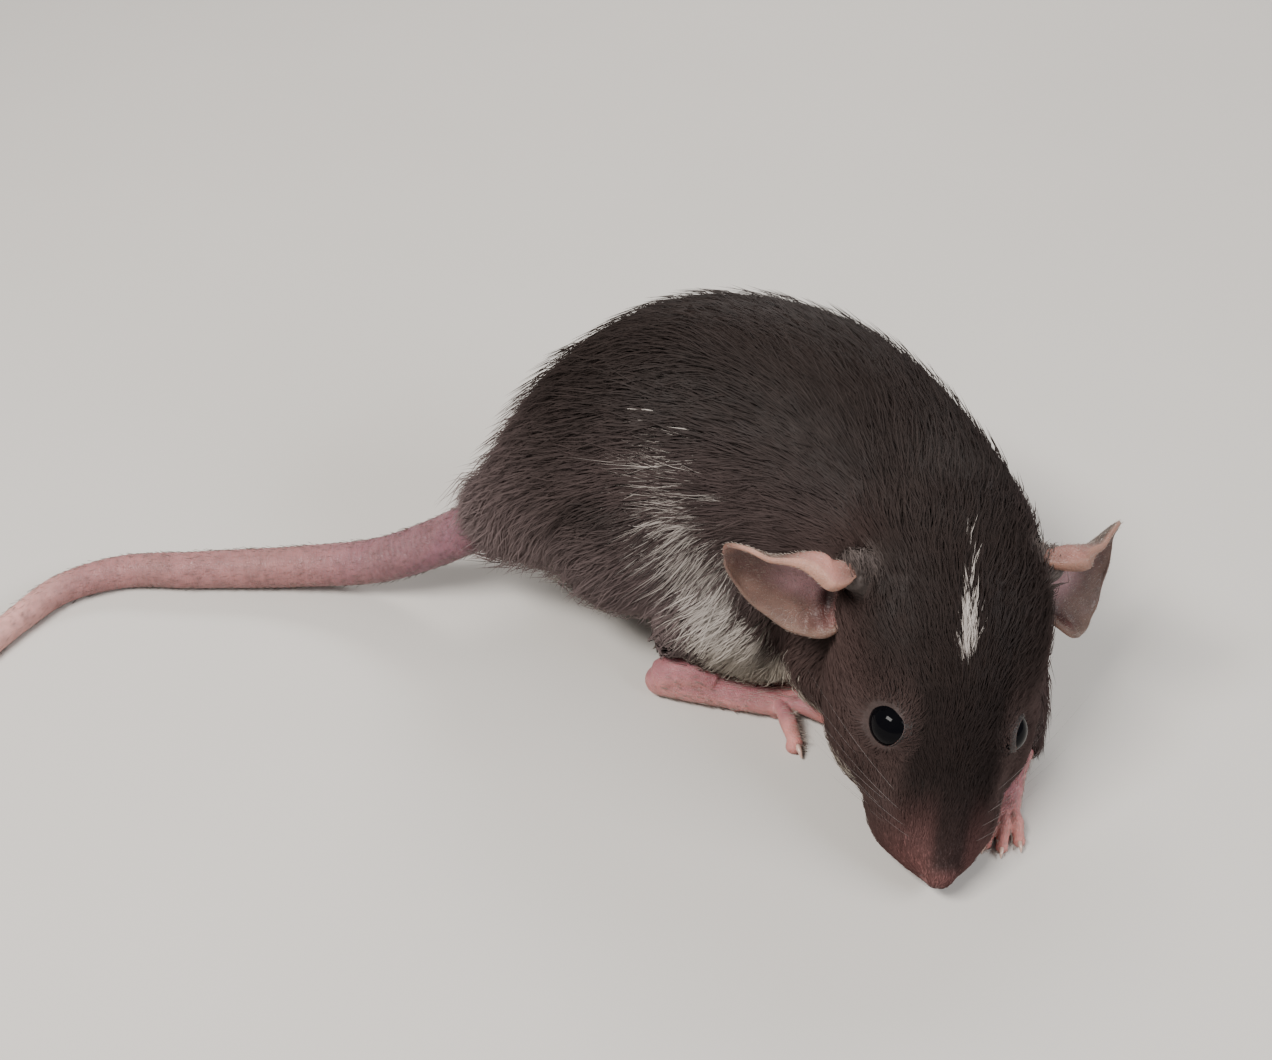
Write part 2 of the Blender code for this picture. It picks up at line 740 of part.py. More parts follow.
def main():
    clear_scene()
    body_nodes()
    node = bpy.data.objects
    for side in (1, -1):
        eyeball(side)
    face_of_head(node["head"])
    for name, stand in HIND_FEET.items():
        hind_foot(name, *stand)
    for name, stand in FORE_PAWS.items():
        fore_paw(name, *stand)
    fore_leg("leg_fore_right", ARM_RIGHT)
    fore_leg("leg_fore_left", ARM_LEFT)
    for side in ("right", "left"):
        clear_of(node[f"leg_hind_{side}"], node[f"foot_hind_{side}"])
        clear_of(node["torso"], node[f"foot_hind_{side}"])
        clear_of(node["torso"], node[f"leg_fore_{side}"])
        clear_of(node["neck"], node[f"leg_fore_{side}"])
        clear_of(node[f"paw_fore_{side}"], node["head"])
        clear_of(node[f"leg_fore_{side}"], node["head"])
        clear_of(node[f"leg_fore_{side}"], node[f"paw_fore_{side}"])
    for neighbour in ("leg_fore_right", "head"):
        clear_of(node["leg_hind_right"], node[neighbour])
    ear("ear_right", *EAR_RIGHT)
    ear("ear_left", *EAR_LEFT)
    for side in ("right", "left"):
        clear_of(node[f"ear_{side}"], node["head"])
        clear_of(node[f"ear_{side}"], node["neck"])
    tail_nodes()
    give_looks()
    stand_on_origin()


main()
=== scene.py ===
import math

import bmesh
import bpy
import numpy as np
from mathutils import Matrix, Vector
from mathutils.bvhtree import BVHTree


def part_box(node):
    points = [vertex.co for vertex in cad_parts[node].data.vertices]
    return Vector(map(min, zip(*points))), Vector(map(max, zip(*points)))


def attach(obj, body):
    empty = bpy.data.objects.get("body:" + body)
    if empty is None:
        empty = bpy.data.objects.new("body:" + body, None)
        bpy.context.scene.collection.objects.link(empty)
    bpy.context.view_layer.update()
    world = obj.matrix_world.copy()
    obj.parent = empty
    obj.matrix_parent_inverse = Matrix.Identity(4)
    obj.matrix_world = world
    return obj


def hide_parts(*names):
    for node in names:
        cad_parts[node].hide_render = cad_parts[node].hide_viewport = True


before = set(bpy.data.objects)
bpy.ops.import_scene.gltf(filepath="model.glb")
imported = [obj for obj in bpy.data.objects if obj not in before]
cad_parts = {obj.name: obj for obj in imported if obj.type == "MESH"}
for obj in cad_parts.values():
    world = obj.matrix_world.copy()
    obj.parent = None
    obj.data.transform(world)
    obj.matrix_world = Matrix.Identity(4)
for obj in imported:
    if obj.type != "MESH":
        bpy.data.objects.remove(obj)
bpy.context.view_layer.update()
mm = 0.001
sideOf = {"right": 1, "left": -1}
print("frame loaded with", len(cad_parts), "nodes")

# The rat is planned in millimetres: the tail runs to -X, the right flank faces -Y and the floor is at 0.
headPlan = {
    "nose": (36.0, -55.0, 3.0),
    "heading": -94.0,
    "pitch": 42.0,
    "roll": 13.0,
    "eyePlace": (18.7, 6.8, 2.3),  # back from the nose tip, out, up
    "eyeRadius": 3.0,
    "gaze": (0.88, 0.42, 0.2),  # out, up, forward
}
# each ear's root on the head, then the way out along it and the way it opens,
# both as shares of forward, right and up
earPlaces = {
    "right": ((34.2, 12.4, 2.4), (-0.07, 0.97, -0.22), (0.89, 0.23, 0.40)),
    "left": ((36.4, -12.4, 0.8), (-0.33, -0.80, -0.44), (0.52, -0.63, 0.58)),
}


def unit(vectors):
    vectors = np.asarray(vectors, float)
    return vectors / np.maximum(np.linalg.norm(vectors, axis=-1, keepdims=True), 1e-9)


def ramp(x, start, end):
    # 0 at the start, 1 at the end, smooth in between
    t = np.clip((np.asarray(x, float) - start) / (end - start), 0, 1)
    return t * t * (3 - 2 * t)


def fade(x, start, end):
    return 1 - ramp(x, start, end)


def dome(x, centre, spread):
    return np.exp(-(((x - centre) / spread) ** 2))


def apart(points, place):
    return np.linalg.norm(points - place, axis=1)


def blend(first, second, share):
    # from the first colour to the second, by a share for each point
    share = share[..., None]
    return first * (1 - share) + second * share


def headWays(plan):
    heading, pitch, roll = (math.radians(plan[key]) for key in ("heading", "pitch", "roll"))
    level = math.cos(pitch)
    ahead = np.array([level * math.cos(heading), level * math.sin(heading), -math.sin(pitch)])
    levelRight = np.array([math.sin(heading), -math.cos(heading), 0])
    levelUp = np.cross(levelRight, ahead)
    side = levelRight * math.cos(roll) + levelUp * math.sin(roll)
    return ahead, side, levelUp * math.cos(roll) - levelRight * math.sin(roll)


noseTip = np.array(headPlan["nose"])
headForward, headRight, headUp = headWays(headPlan)


def onHead(back, side, above):
    back, side, above = (np.asarray(x, float)[..., None] for x in (back, side, above))
    return noseTip - headForward * back + headRight * side + headUp * above


def headPlace(points):
    # how far points lie behind the nose tip, right of it and above it
    offset = points - noseTip
    return -offset @ headForward, offset @ headRight, offset @ headUp


def eyeCentre(side):
    back, out, above = headPlan["eyePlace"]
    return onHead(back, out * side, above)


def eyeWays(side):
    # across the eye, along its other side and the way that it looks
    out, above, ahead = headPlan["gaze"]
    axis = unit(headRight * (out * side) + headUp * above + headForward * ahead)
    across = unit(np.cross(axis, headForward))
    return across, np.cross(axis, across), axis


def earWays(word):
    place, along, opening = earPlaces[word]
    ways = np.stack([headForward, headRight, headUp])
    along, opening = unit(np.array(along) @ ways), np.array(opening) @ ways
    opening = unit(opening - along * (opening @ along))
    rearward = np.cross(along, opening)
    return onHead(*place), along, opening, -rearward if rearward @ headForward > 0 else rearward


def middleOf(node):
    low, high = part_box(node)
    return np.array((low + high) / 2) / mm


# the frame stands on the middle of its box, which is a little off the plan's origin
partShift = (middleOf("eye_right") + middleOf("eye_left") - eyeCentre(1) - eyeCentre(-1)) / 2
print("plan to frame, mm:", np.round(partShift, 2))

# Meshes


def smoothRows(rows, count):
    # rows read from a smooth curve through the given ones, spaced along their first three numbers
    rows = np.array(rows, float)
    knots = np.concatenate([[0], np.cumsum(np.linalg.norm(np.diff(rows[:, :3], axis=0), axis=1))])
    slopes = np.gradient(rows, knots, axis=0)
    at = np.linspace(0, knots[-1], count)
    i = np.clip(np.searchsorted(knots, at, side="right") - 1, 0, len(knots) - 2)
    span = (knots[i + 1] - knots[i])[:, None]
    t = (at - knots[i])[:, None] / span
    end = 3 * t**2 - 2 * t**3
    turns = (t**3 - 2 * t**2 + t) * slopes[i] + (t**3 - t**2) * slopes[i + 1]
    return (1 - end) * rows[i] + end * rows[i + 1] + turns * span


def gridQuads(rows, columns):
    # the faces between rows of points, each row closed on itself
    r, c = np.meshgrid(np.arange(rows - 1), np.arange(columns), indexing="ij")
    a = (r * columns + c).ravel()
    b = (r * columns + (c + 1) % columns).ravel()
    return np.stack([a, b, b + columns, a + columns], axis=1)


def capped(rings, sides):
    # the faces of a row of rings whose points are followed by a pole for each end
    k, last, pole = np.arange(sides), (rings - 1) * sides, rings * sides
    firstCap = np.stack([(k + 1) % sides, k, np.full(sides, pole)], axis=1)
    lastCap = np.stack([last + k, last + (k + 1) % sides, np.full(sides, pole + 1)], axis=1)
    return [gridQuads(rings, sides), firstCap, lastCap]


def addPiece(name, data):
    piece = bpy.data.objects.new(name, data)
    bpy.context.scene.collection.objects.link(piece)
    return piece


def inFrame(points):
    return (np.asarray(points) + partShift) * mm


def newPiece(name, points, faces, finish=None):
    # faces is a list of arrays, each of triangles or of quads
    groups = [np.asarray(group, np.int32) for group in faces]
    corners = np.concatenate([group.ravel() for group in groups])
    sizes = np.concatenate([np.full(len(group), group.shape[1]) for group in groups])
    mesh = bpy.data.meshes.new(name)
    mesh.vertices.add(len(points))
    mesh.vertices.foreach_set("co", inFrame(points).astype(np.float32).ravel())
    mesh.loops.add(len(corners))
    mesh.loops.foreach_set("vertex_index", corners)
    mesh.polygons.add(len(sizes))
    mesh.polygons.foreach_set("loop_start", np.concatenate([[0], np.cumsum(sizes)[:-1]]).astype(np.int32))
    mesh.update(calc_edges=True)
    mesh.shade_smooth()
    if finish:
        mesh.materials.append(finish)
    return addPiece(name, mesh)


def outward(piece):
    bm = bmesh.new()
    bm.from_mesh(piece.data)
    bm.normal_update()
    bmesh.ops.recalc_face_normals(bm, faces=bm.faces)
    bm.to_mesh(piece.data)
    bm.free()
    return piece


def paint(piece, colours):
    # a colour for each vertex, which the finishes read
    tint = piece.data.color_attributes.new("tint", "FLOAT_COLOR", "POINT")
    rgba = np.ones((len(piece.data.vertices), 4), np.float32)
    rgba[:, :3] = colours
    tint.data.foreach_set("color", rgba.ravel())


def setLie(piece, ways):
    # the way that fine hairs lie on a piece
    ways = np.broadcast_to(ways, (len(piece.data.vertices), 3)).astype(np.float32)
    field = piece.data.attributes.new("lie", "FLOAT_VECTOR", "POINT")
    field.data.foreach_set("vector", ways.ravel())


def readVertices(piece, key):
    values = np.empty(len(piece.data.vertices) * 3, np.float32)
    piece.data.vertices.foreach_get(key, values)
    return values.reshape(-1, 3)


def planPoints(piece):
    return readVertices(piece, "co") / mm - partShift


def planNormals(piece):
    return readVertices(piece, "normal").astype(float)


def movePoints(piece, points):
    piece.data.vertices.foreach_set("co", inFrame(points).astype(np.float32).ravel())
    piece.data.update()


def raised(points, height):
    # nothing lower than a height over the floor
    points[..., 2] = np.maximum(points[..., 2], height)
    return points


def meshMade(piece):
    # what the modifiers make, as a plain mesh
    bpy.context.view_layer.update()
    return bpy.data.meshes.new_from_object(piece.evaluated_get(bpy.context.evaluated_depsgraph_get()))


def settled(piece):
    mesh = meshMade(piece)
    piece.modifiers.clear()
    piece.data = mesh
    return piece


def modify(piece, kind, **settings):
    modifier = piece.modifiers.new(kind.title(), kind)
    for key, value in settings.items():
        setattr(modifier, key, value)
    return modifier


def cover(piece, finish):
    piece.data.materials.clear()
    piece.data.materials.append(finish)
    piece.data.shade_smooth()
    return piece


def loftShape(rows, rings, sides, above=(0.02, 0.03, 1)):
    # a closed tube through rows of x, y, z, half width, rise and drop
    rows = smoothRows(rows, rings)
    centres = rows[:, :3]
    ahead = unit(np.gradient(centres, axis=0))
    side = unit(np.cross(ahead, np.array(above, float)))
    top = np.cross(side, ahead)
    size = np.maximum(rows[:, 3:6], 0.02)
    turn = np.linspace(0, 2 * math.pi, sides, endpoint=False)
    width = size[:, :1] * np.cos(turn)
    height = np.where(np.sin(turn) > 0, size[:, 1:2], size[:, 2:3]) * np.sin(turn)
    ring = centres[:, None] + side[:, None] * width[..., None] + top[:, None] * height[..., None]
    poles = [centres[k] + way * ahead[k] * 0.6 * size[k, :2].min() for k, way in ((0, -1), (-1, 1))]
    return np.concatenate([ring.reshape(-1, 3), poles]), capped(rings, sides)


def limbShape(rows, rings=None, sides=20):
    return loftShape([(x, y, z, r, r, r) for x, y, z, r in rows], rings or 5 * len(rows), sides)


def ballShape(centre, radii, ways=np.identity(3), rings=14, sides=20):
    pitch = np.linspace(-math.pi / 2, math.pi / 2, rings + 2)[1:-1, None]
    turn = np.linspace(0, 2 * math.pi, sides, endpoint=False)
    level = np.cos(pitch)
    ball = np.stack(np.broadcast_arrays(level * np.cos(turn), level * np.sin(turn), np.sin(pitch)), axis=-1)
    ball = np.concatenate([ball.reshape(-1, 3), [(0, 0, -1), (0, 0, 1)]]) * np.array(radii)
    return ball @ np.asarray(ways) + np.asarray(centre), capped(rings, sides)


def joinShapes(shapes):
    points, faces, count = [], [], 0
    for some, groups in shapes:
        points.append(some)
        faces += [group + count for group in groups]
        count += len(some)
    return np.concatenate(points), faces


def fused(name, shapes, voxel, smoothing, finish):
    # overlapping closed shapes as one smooth surface
    piece = outward(newPiece(name, *joinShapes(shapes)))
    modify(piece, "REMESH", mode="VOXEL", voxel_size=voxel * mm)
    modify(piece, "SMOOTH", iterations=smoothing)
    return cover(settled(piece), finish)


def waves(points, size, seed):
    # smooth unevenness between -1 and 1 that varies over about the given size in millimetres
    rng = np.random.default_rng(seed)
    total = np.zeros(len(points))
    for _ in range(6):
        way = unit(rng.normal(size=3))
        total += np.sin(points @ way * (2 * math.pi / size) * rng.uniform(0.6, 1.5) + rng.uniform(0, 6.28))
    return total / 3.2


# Finishes


class Value:
    # a socket that Python's operators extend with Math nodes
    def __init__(self, graph, socket):
        self.graph = graph
        self.socket = socket

    def maths(self, operation, first, second):
        return self.graph.add("ShaderNodeMath", {0: first, 1: second}, operation=operation)

    def __add__(self, other):
        return self.maths("ADD", self, other)

    def __radd__(self, other):
        return self.maths("ADD", other, self)

    def __sub__(self, other):
        return self.maths("SUBTRACT", self, other)

    def __rsub__(self, other):
        return self.maths("SUBTRACT", other, self)

    def __mul__(self, other):
        return self.maths("MULTIPLY", self, other)

    def __rmul__(self, other):
        return self.maths("MULTIPLY", other, self)

    def __truediv__(self, other):
        return self.maths("DIVIDE", self, other)

    def __rtruediv__(self, other):
        return self.maths("DIVIDE", other, self)

    def __pow__(self, other):
        return self.maths("POWER", self, other)

    def __rpow__(self, other):
        return self.maths("POWER", other, self)


class Graph:
    # a node tree whose nodes are added by type, the values or links of their sockets and their settings
    def __init__(self, tree):
        self.tree = tree

    def put(self, node, key, value):
        if isinstance(value, Value):
            self.tree.links.new(value.socket, node.inputs[key])
        else:
            node.inputs[key].default_value = value

    def add(self, kind, values=(), output=0, **settings):
        node = self.tree.nodes.new(kind)
        for key, setting in settings.items():
            setattr(node, key, setting)
        for key, value in dict(values).items():
            self.put(node, key, value)
        return Value(self, node.outputs[output])

    def scaled(self, vector, amount):
        return self.add("ShaderNodeVectorMath", {0: vector, "Scale": amount}, operation="SCALE")


class Finish(Graph):
    def __init__(self, name, constants):
        self.material = bpy.data.materials.new(name)
        self.material.use_nodes = True
        super().__init__(self.material.node_tree)
        self.shader = self.tree.nodes["Principled BSDF"]
        for key, value in constants.items():
            self.put(self.shader, key, value)

    def surface(self):
        return self.add("ShaderNodeTexCoord", output="Object")

    def noise(self, grains, detail=2.0):
        # grains for each millimetre
        values = {"Vector": self.surface(), "Scale": grains / mm, "Detail": detail}
        return self.add("ShaderNodeTexNoise", values)

    def between(self, value, low, high, newLow, newHigh):
        values = {"Value": value, "From Min": low, "From Max": high, "To Min": newLow, "To Max": newHigh}
        return self.add("ShaderNodeMapRange", values)

    def patches(self, low, high, grains, detail=2.0):
        return self.between(self.noise(grains, detail), 0.3, 0.7, low, high)

    def shaded(self, amount, grains):
        # the painted colour made lighter and darker in patches
        tint = self.add("ShaderNodeAttribute", output="Color", attribute_name="tint")
        return self.scaled(tint, self.patches(1 - amount, 1 + amount, grains, 3.0))

    def bump(self, height, strength, distance):
        values = {"Height": height, "Strength": strength, "Distance": distance * mm}
        return self.add("ShaderNodeBump", values)

    def finish(self, colour, roughness, normal=None):
        self.put(self.shader, "Base Color", colour)
        self.put(self.shader, "Roughness", roughness)
        if normal:
            self.put(self.shader, "Normal", normal)
        return self.material


def furFinish():
    finish = Finish("fur", {"Specular IOR Level": 0.1})
    return finish.finish(finish.shaded(0.12, 0.35), finish.patches(0.5, 0.66, 0.6))


def hideFinish():
    # what shows between the tufts, and the barer skin of the muzzle
    finish = Finish("hide", {"Specular IOR Level": 0.35})
    bump = finish.bump(finish.noise(5, 4), 0.5, 0.15)
    return finish.finish(finish.shaded(0.2, 1.6), finish.patches(0.5, 0.7, 2), bump)


def bareFinish(name, grains, depth, subsurface=0.25):
    # pink skin with fine creases
    constants = {
        "Specular IOR Level": 0.42,
        "Subsurface Weight": subsurface,
        "Subsurface Scale": 0.6 * mm,
        "Subsurface Radius": (1.0, 0.35, 0.25),
    }
    finish = Finish(name, constants)
    values = {"Vector": finish.surface(), "Scale": grains / mm}
    creases = finish.add("ShaderNodeTexVoronoi", values, feature="DISTANCE_TO_EDGE")
    height = finish.between(creases, 0.0, 0.14, 0.0, 1.0) * 0.7 + finish.noise(grains * 3, 3) * 0.4
    rough = finish.patches(0.42, 0.6, grains * 0.5)
    return finish.finish(finish.shaded(0.16, grains * 0.22), rough, finish.bump(height, 0.55, depth))


def plainFinish(name, constants, colours, grains, roughness, roughGrains):
    # two colours in patches
    finish = Finish(name, constants)
    first, second = ((*colour, 1) for colour in colours)
    values = {0: finish.noise(*grains), 6: first, 7: second}
    colour = finish.add("ShaderNodeMix", values, 2, data_type="RGBA")
    return finish.finish(colour, finish.patches(*roughness, roughGrains))


def hairFinish(name, *colours):
    return plainFinish(name, {"Specular IOR Level": 0.5}, colours, (0.8,), (0.35, 0.5), 3)


fur, hide = furFinish(), hideFinish()
footSkin = bareFinish("footSkin", 3.2, 0.16)
earSkin = bareFinish("earSkin", 2.2, 0.08, 0.15)
tailSkin = bareFinish("tailSkin", 3.0, 0.1)
eyeColours = (0.0012, 0.0014, 0.0022), (0.003, 0.0028, 0.0036)
eyeGloss = plainFinish("eye", {"Specular IOR Level": 0.13, "IOR": 1.3}, eyeColours, (0.9, 2), (0.03, 0.06), 2)
clawConstants = {"Specular IOR Level": 0.55, "Coat Weight": 0.3, "Coat Roughness": 0.2}
clawColours = (0.40, 0.25, 0.20), (0.52, 0.36, 0.30)
clawHorn = plainFinish("claw", clawConstants, clawColours, (2.5,), (0.25, 0.4), 6)
fuzz = hairFinish("fuzz", (0.24, 0.19, 0.16), (0.4, 0.33, 0.28))
darkFuzz = hairFinish("darkFuzz", (0.06, 0.045, 0.035), (0.13, 0.1, 0.08))
whisker = hairFinish("whisker", (0.11, 0.09, 0.085), (0.2, 0.175, 0.165))
print("finishes made")

# Markings, shared by the skin and the coat, in linear light

markings = {
    "body": (0.057, 0.041, 0.039),
    # painted shade: fur that faces up is darker, standing in for light that falls more from the front and
    # side than from above
    "back": (0.019, 0.0135, 0.012),
    # painted light: a lighter colour for the lower flanks and legs, standing in for light that falls from the
    # front and side
    "low": (0.15, 0.112, 0.11),
    "cheek": (0.050, 0.032, 0.029),
    "bridge": (0.015, 0.010, 0.009),
    "crown": (0.016, 0.0105, 0.009),
    "white": (0.40, 0.36, 0.33),
    "cream": (0.32, 0.28, 0.23),
    "muzzlePink": (0.15, 0.062, 0.058),
    "muzzleHair": (0.085, 0.040, 0.037),
    "rumpBrown": (0.088, 0.064, 0.062),
    "earFringe": (0.11, 0.088, 0.08),
    "bare": (0.42, 0.24, 0.22),
}
blaze = {
    "back": (24.8, 25.4, 26.4, 27.8, 30.6, 32.6, 35.0, 38.0, 39.6),  # from the nose tip
    "half": (0.0, 0.5, 0.85, 0.95, 0.62, 0.38, 0.26, 0.2, 0.0),  # its width to each side there
    "side": 0.35,
}
# the white band of the right flank: x, y, z, radius and how many of its hairs are white
flankBand = (
    (6.0, -15.0, 36.0, 5.5, 0.05),
    (7.0, -17.0, 32.5, 5.6, 0.25),
    (8.0, -19.0, 28.5, 5.2, 0.52),
    (9.5, -20.8, 23.5, 4.4, 0.8),
    (10.7, -21.5, 19.5, 4.2, 1.0),
    (13.3, -23.6, 14.5, 4.6, 1.0),
    (16.0, -23.6, 9.8, 5.2, 1.0),
    (20.0, -22.3, 6.0, 5.0, 1.0),
)


def toneArrays(colours):
    return {name: np.array(colour) for name, colour in colours.items()}


tones = toneArrays(markings)


def blazeAt(points):
    back, side, above = headPlace(points)
    back = back + waves(points, 1.6, 3) * 0.35
    half = np.interp(back, blaze["back"], blaze["half"])
    edge = half - np.abs(side - blaze["side"] - 0.2 * waves(points, 5.0, 4))
    sparse = 1 - 0.45 * ramp(back, 30.5, 35.5)
    return ramp(edge, -0.25, 0.3) * (above > 0) * sparse * (half > 0)


def bandAt(points):
    near = np.zeros(len(points))
    rough = 1.1 * waves(points, 4.0, 5) + 0.5 * waves(points, 1.4, 6)
    for *place, radius, share in smoothRows(flankBand, 40):
        near = np.maximum(near, share * fade(apart(points, place) + rough, radius * 0.45, radius * 1.25))
    return near


def whiteAt(points, normals):
    x, y, z = points.T
    facingDown = -normals[:, 2]
    trunk = ramp(x, -12, -4) * fade(x, 24, 30) * fade(np.abs(y + 5), 11, 16)
    belly = ramp(facingDown, 0.35, 0.85) * fade(z, 12, 17) * trunk
    fold = ramp(x, 6, 10) * fade(x, 24, 30) * ramp(-y, 12, 16) * ramp(facingDown, 0.0, 0.5) * fade(z, 9, 13)
    return np.maximum.reduce([blazeAt(points), bandAt(points), 0.85 * belly, fold])


def muzzleAt(points):
    # the pinkish sides of the muzzle, with the dark bridge kept free down to just behind the nose
    back, side, above = headPlace(points)
    bridge = fade(np.abs(side + 0.5), 1.2, 3.2) * ramp(back, 0.4, 2.2) * ramp(above, -1.0, 1.2)
    return fade(apart(points, noseTip), 3.0, 12.5) * (1 - 0.85 * bridge)


def darkAt(points, normals):
    # the dark ground colour of the coat, with painted shade on the fur that faces up and painted light on the
    # lower body and near the floor
    back, side, above = headPlace(points)
    fromNose, z = apart(points, noseTip), points[:, 2]
    behind = ramp(fromNose, 40, 52)
    # painted shade: the more the fur faces up, the more it takes the darker back colour
    body = blend(tones["body"], tones["back"], ramp(normals[:, 2], 0.1, 0.8))
    body = blend(body, tones["rumpBrown"], 0.85 * fade(points[:, 0], -18, -6))
    # painted light: lighter low down, and lighter again below 12 mm where the fur lies in shadow
    body = blend(body, tones["low"], fade(z, 12, 29) * behind)
    body = body * (1 + 0.5 * fade(z, 4, 12) * behind)[:, None]
    face = blend(tones["cheek"], tones["bridge"], fade(np.abs(side), 4.2, 7.0) * ramp(above, -1, 2.5))
    face = blend(face, tones["crown"], 0.92 * ramp(back, 17, 26) * ramp(above, 1.5, 6))
    colour = blend(body, face, fade(fromNose, 34, 48))
    for word in earPlaces:
        root, along, opening, rearward = earWays(word)
        near = fade(apart(points, root + rearward * 3.6 - along * 1.2), 1.0, 4.0)
        colour = blend(colour, tones["earFringe"], 0.7 * near)
    return blend(colour, tones["muzzleHair"], muzzleAt(points))


# Skin

skinPlan = {
    "nodes": ("head", "neck", "torso", "leg_hind_right", "leg_hind_left", "leg_fore_right", "leg_fore_left"),
    "grow": 0.25,
    "voxel": 0.455,
    "smoothing": 7,
    # how much is smoothed, and from and up to how far from the nose tip
    "firmness": ((0.4, 0, 5), (0.5, 5, 9), (0.7, 9, 13), (1.0, 13, 999)),
    "underEye": 0.15,
    "floorGap": 0.35,
    "muzzle": 9.0,
    "pad": (3.4, 2.8, -0.8, 2.6, 0.95),  # the whisker pad: back, out, up, radius, how far it swells
    "nostril": (0.2, 1.8, 0.1),
    "nostrilSize": (0.75, 0.55),
    # the fold of the belly over the hind foot: x, y, z and radius
    "fold": ((7, -19.2, 9.4, 3.6), (12, -20.2, 8.1, 3.8), (17, -20.8, 6.9, 3.7), (22, -20.6, 6.5, 3.2)),
    "earMound": (0.3, 2.7, 0.6, 3.0),  # a swelling over each ear's root: out, rearward, down and radius
}
# by the distance from the nose tip, how deep, long and wide the tufts are and how closely they stand
coatRows = {
    "fromNose": (0.0, 4.0, 9.0, 18.0, 28.0, 38.0, 50.0, 80.0),
    "depth": (0.05, 0.14, 0.30, 0.48, 0.72, 1.00, 1.35, 1.55),
    "length": (0.35, 0.75, 1.4, 2.1, 2.9, 4.0, 5.2, 5.8),
    "width": (0.07, 0.08, 0.10, 0.12, 0.15, 0.17, 0.19, 0.20),
    "number": (30.0, 34.0, 26.0, 20.0, 15.0, 12.0, 9.5, 8.5),
}
# places where the coat thins out to bare skin: x, y, z and the distances where that starts and ends
bareEnds = (
    (2.8, -19.6, 1.4, 2.0, 5.6),
    (6.0, 19.4, 1.4, 2.0, 5.6),
    (33.0, -31.0, 3.0, 2.5, 6.5),
    (48.5, -36.5, 3.0, 2.5, 6.5),
    (-23.5, -1.0, 13.5, 2.5, 10.0),
)
# from one corner of the mouth to the other: back from the nose tip, right of it and above it
mouthRows = (
    (12.5, 6.2, -5.0),
    (10.0, 5.0, -5.6),
    (6.4, 2.9, -4.9),
    (3.6, 0.0, -4.0),
    (6.4, -2.9, -4.9),
    (10.0, -5.0, -5.6),
    (12.5, -6.2, -5.0),
)


def hairedAt(points):
    # for each bare end, 0 at it and 1 where the coat is full
    return [ramp(apart(points, place), bare, full) for *place, bare, full in bareEnds]


def coatAt(points, measure):
    value = np.interp(apart(points, noseTip), coatRows["fromNose"], coatRows[measure])
    if measure in ("depth", "length"):
        for haired in hairedAt(points):
            value = value * (0.3 + 0.7 * haired)
    if measure == "length":
        for side in sideOf.values():
            value = value * (0.45 + 0.55 * ramp(apart(points, eyeCentre(side)), 3.0, 6.0))
    return value


def addBall(bm, centre, radius):
    ball = bmesh.ops.create_icosphere(bm, subdivisions=3, radius=radius * mm)
    bmesh.ops.translate(bm, verts=ball["verts"], vec=Vector(inFrame(centre)))


def makeSkin(plan):
    bm = bmesh.new()
    for node in plan["nodes"]:
        bm.from_mesh(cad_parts[node].data)
    bmesh.ops.remove_doubles(bm, verts=bm.verts, dist=0.001 * mm)
    for side in sideOf.values():
        addBall(bm, eyeCentre(side), headPlan["eyeRadius"] - plan["underEye"])
    fold = newPiece("fold", *limbShape(plan["fold"]))
    bm.from_mesh(fold.data)
    bpy.data.objects.remove(fold)
    out, rear, down, radius = plan["earMound"]
    for word in earPlaces:
        root, along, opening, rearward = earWays(word)
        addBall(bm, root + along * out + rearward * rear - opening * down, radius)
    mesh = bpy.data.meshes.new("skin")
    bm.to_mesh(mesh)
    bm.free()
    skin = addPiece("skin", mesh)
    modify(skin, "DISPLACE", strength=plan["grow"] * mm, mid_level=0)
    modify(skin, "REMESH", mode="VOXEL", voxel_size=plan["voxel"] * mm)
    settled(skin)
    firm = skin.vertex_groups.new(name="firm")
    fromNose = apart(planPoints(skin), noseTip)
    for share, low, high in plan["firmness"]:
        firm.add(np.nonzero((fromNose >= low) & (fromNose < high))[0].tolist(), share, "REPLACE")
    modify(skin, "SMOOTH", iterations=plan["smoothing"], vertex_group="firm")
    settled(skin)
    points, normals = planPoints(skin), planNormals(skin)
    points = points - normals * (coatAt(points, "depth") + plan["grow"] * 0.6)[:, None]
    movePoints(skin, raised(points, plan["floorGap"]))
    shapeMuzzle(skin, plan)
    return cover(skin, hide)


def shapeMuzzle(skin, plan):
    # finer faces round the nose, then the nostrils, the cleft under them and the line of the mouth
    bm = bmesh.new()
    bm.from_mesh(skin.data)
    place = Vector(inFrame(noseTip))
    near = [e for e in bm.edges if (e.verts[0].co - place).length < plan["muzzle"] * mm]
    bmesh.ops.subdivide_edges(bm, edges=near, cuts=1, use_grid_fill=True)
    bmesh.ops.triangulate(bm, faces=[f for f in bm.faces if len(f.verts) > 4])
    bm.to_mesh(skin.data)
    bm.free()
    points, normals = planPoints(skin), planNormals(skin)
    sink = np.zeros(len(points))
    back, out, above = plan["nostril"]
    length, depth = plan["nostrilSize"]
    for side in sideOf.values():
        hole = apart(points, onHead(back + 0.3, out * side, above))
        sink += depth * np.exp(-((hole / (length * 0.75)) ** 2) * 1.4)
    back, out, above, radius, swell = plan["pad"]
    for side in sideOf.values():
        sink -= swell * dome(apart(points, onHead(back, out * side, above)), 0, radius)
    back, side, above = headPlace(points)
    sink += 0.3 * dome(side, 0, 0.28) * ramp(-above, 0.2, 1.0) * fade(back, 3.5, 5.5)
    lips = onHead(*smoothRows(mouthRows, 60).T)
    sink += 0.45 * dome(np.min([apart(points, spot) for spot in lips], axis=0), 0, 0.55)
    movePoints(skin, points - normals * sink[:, None])


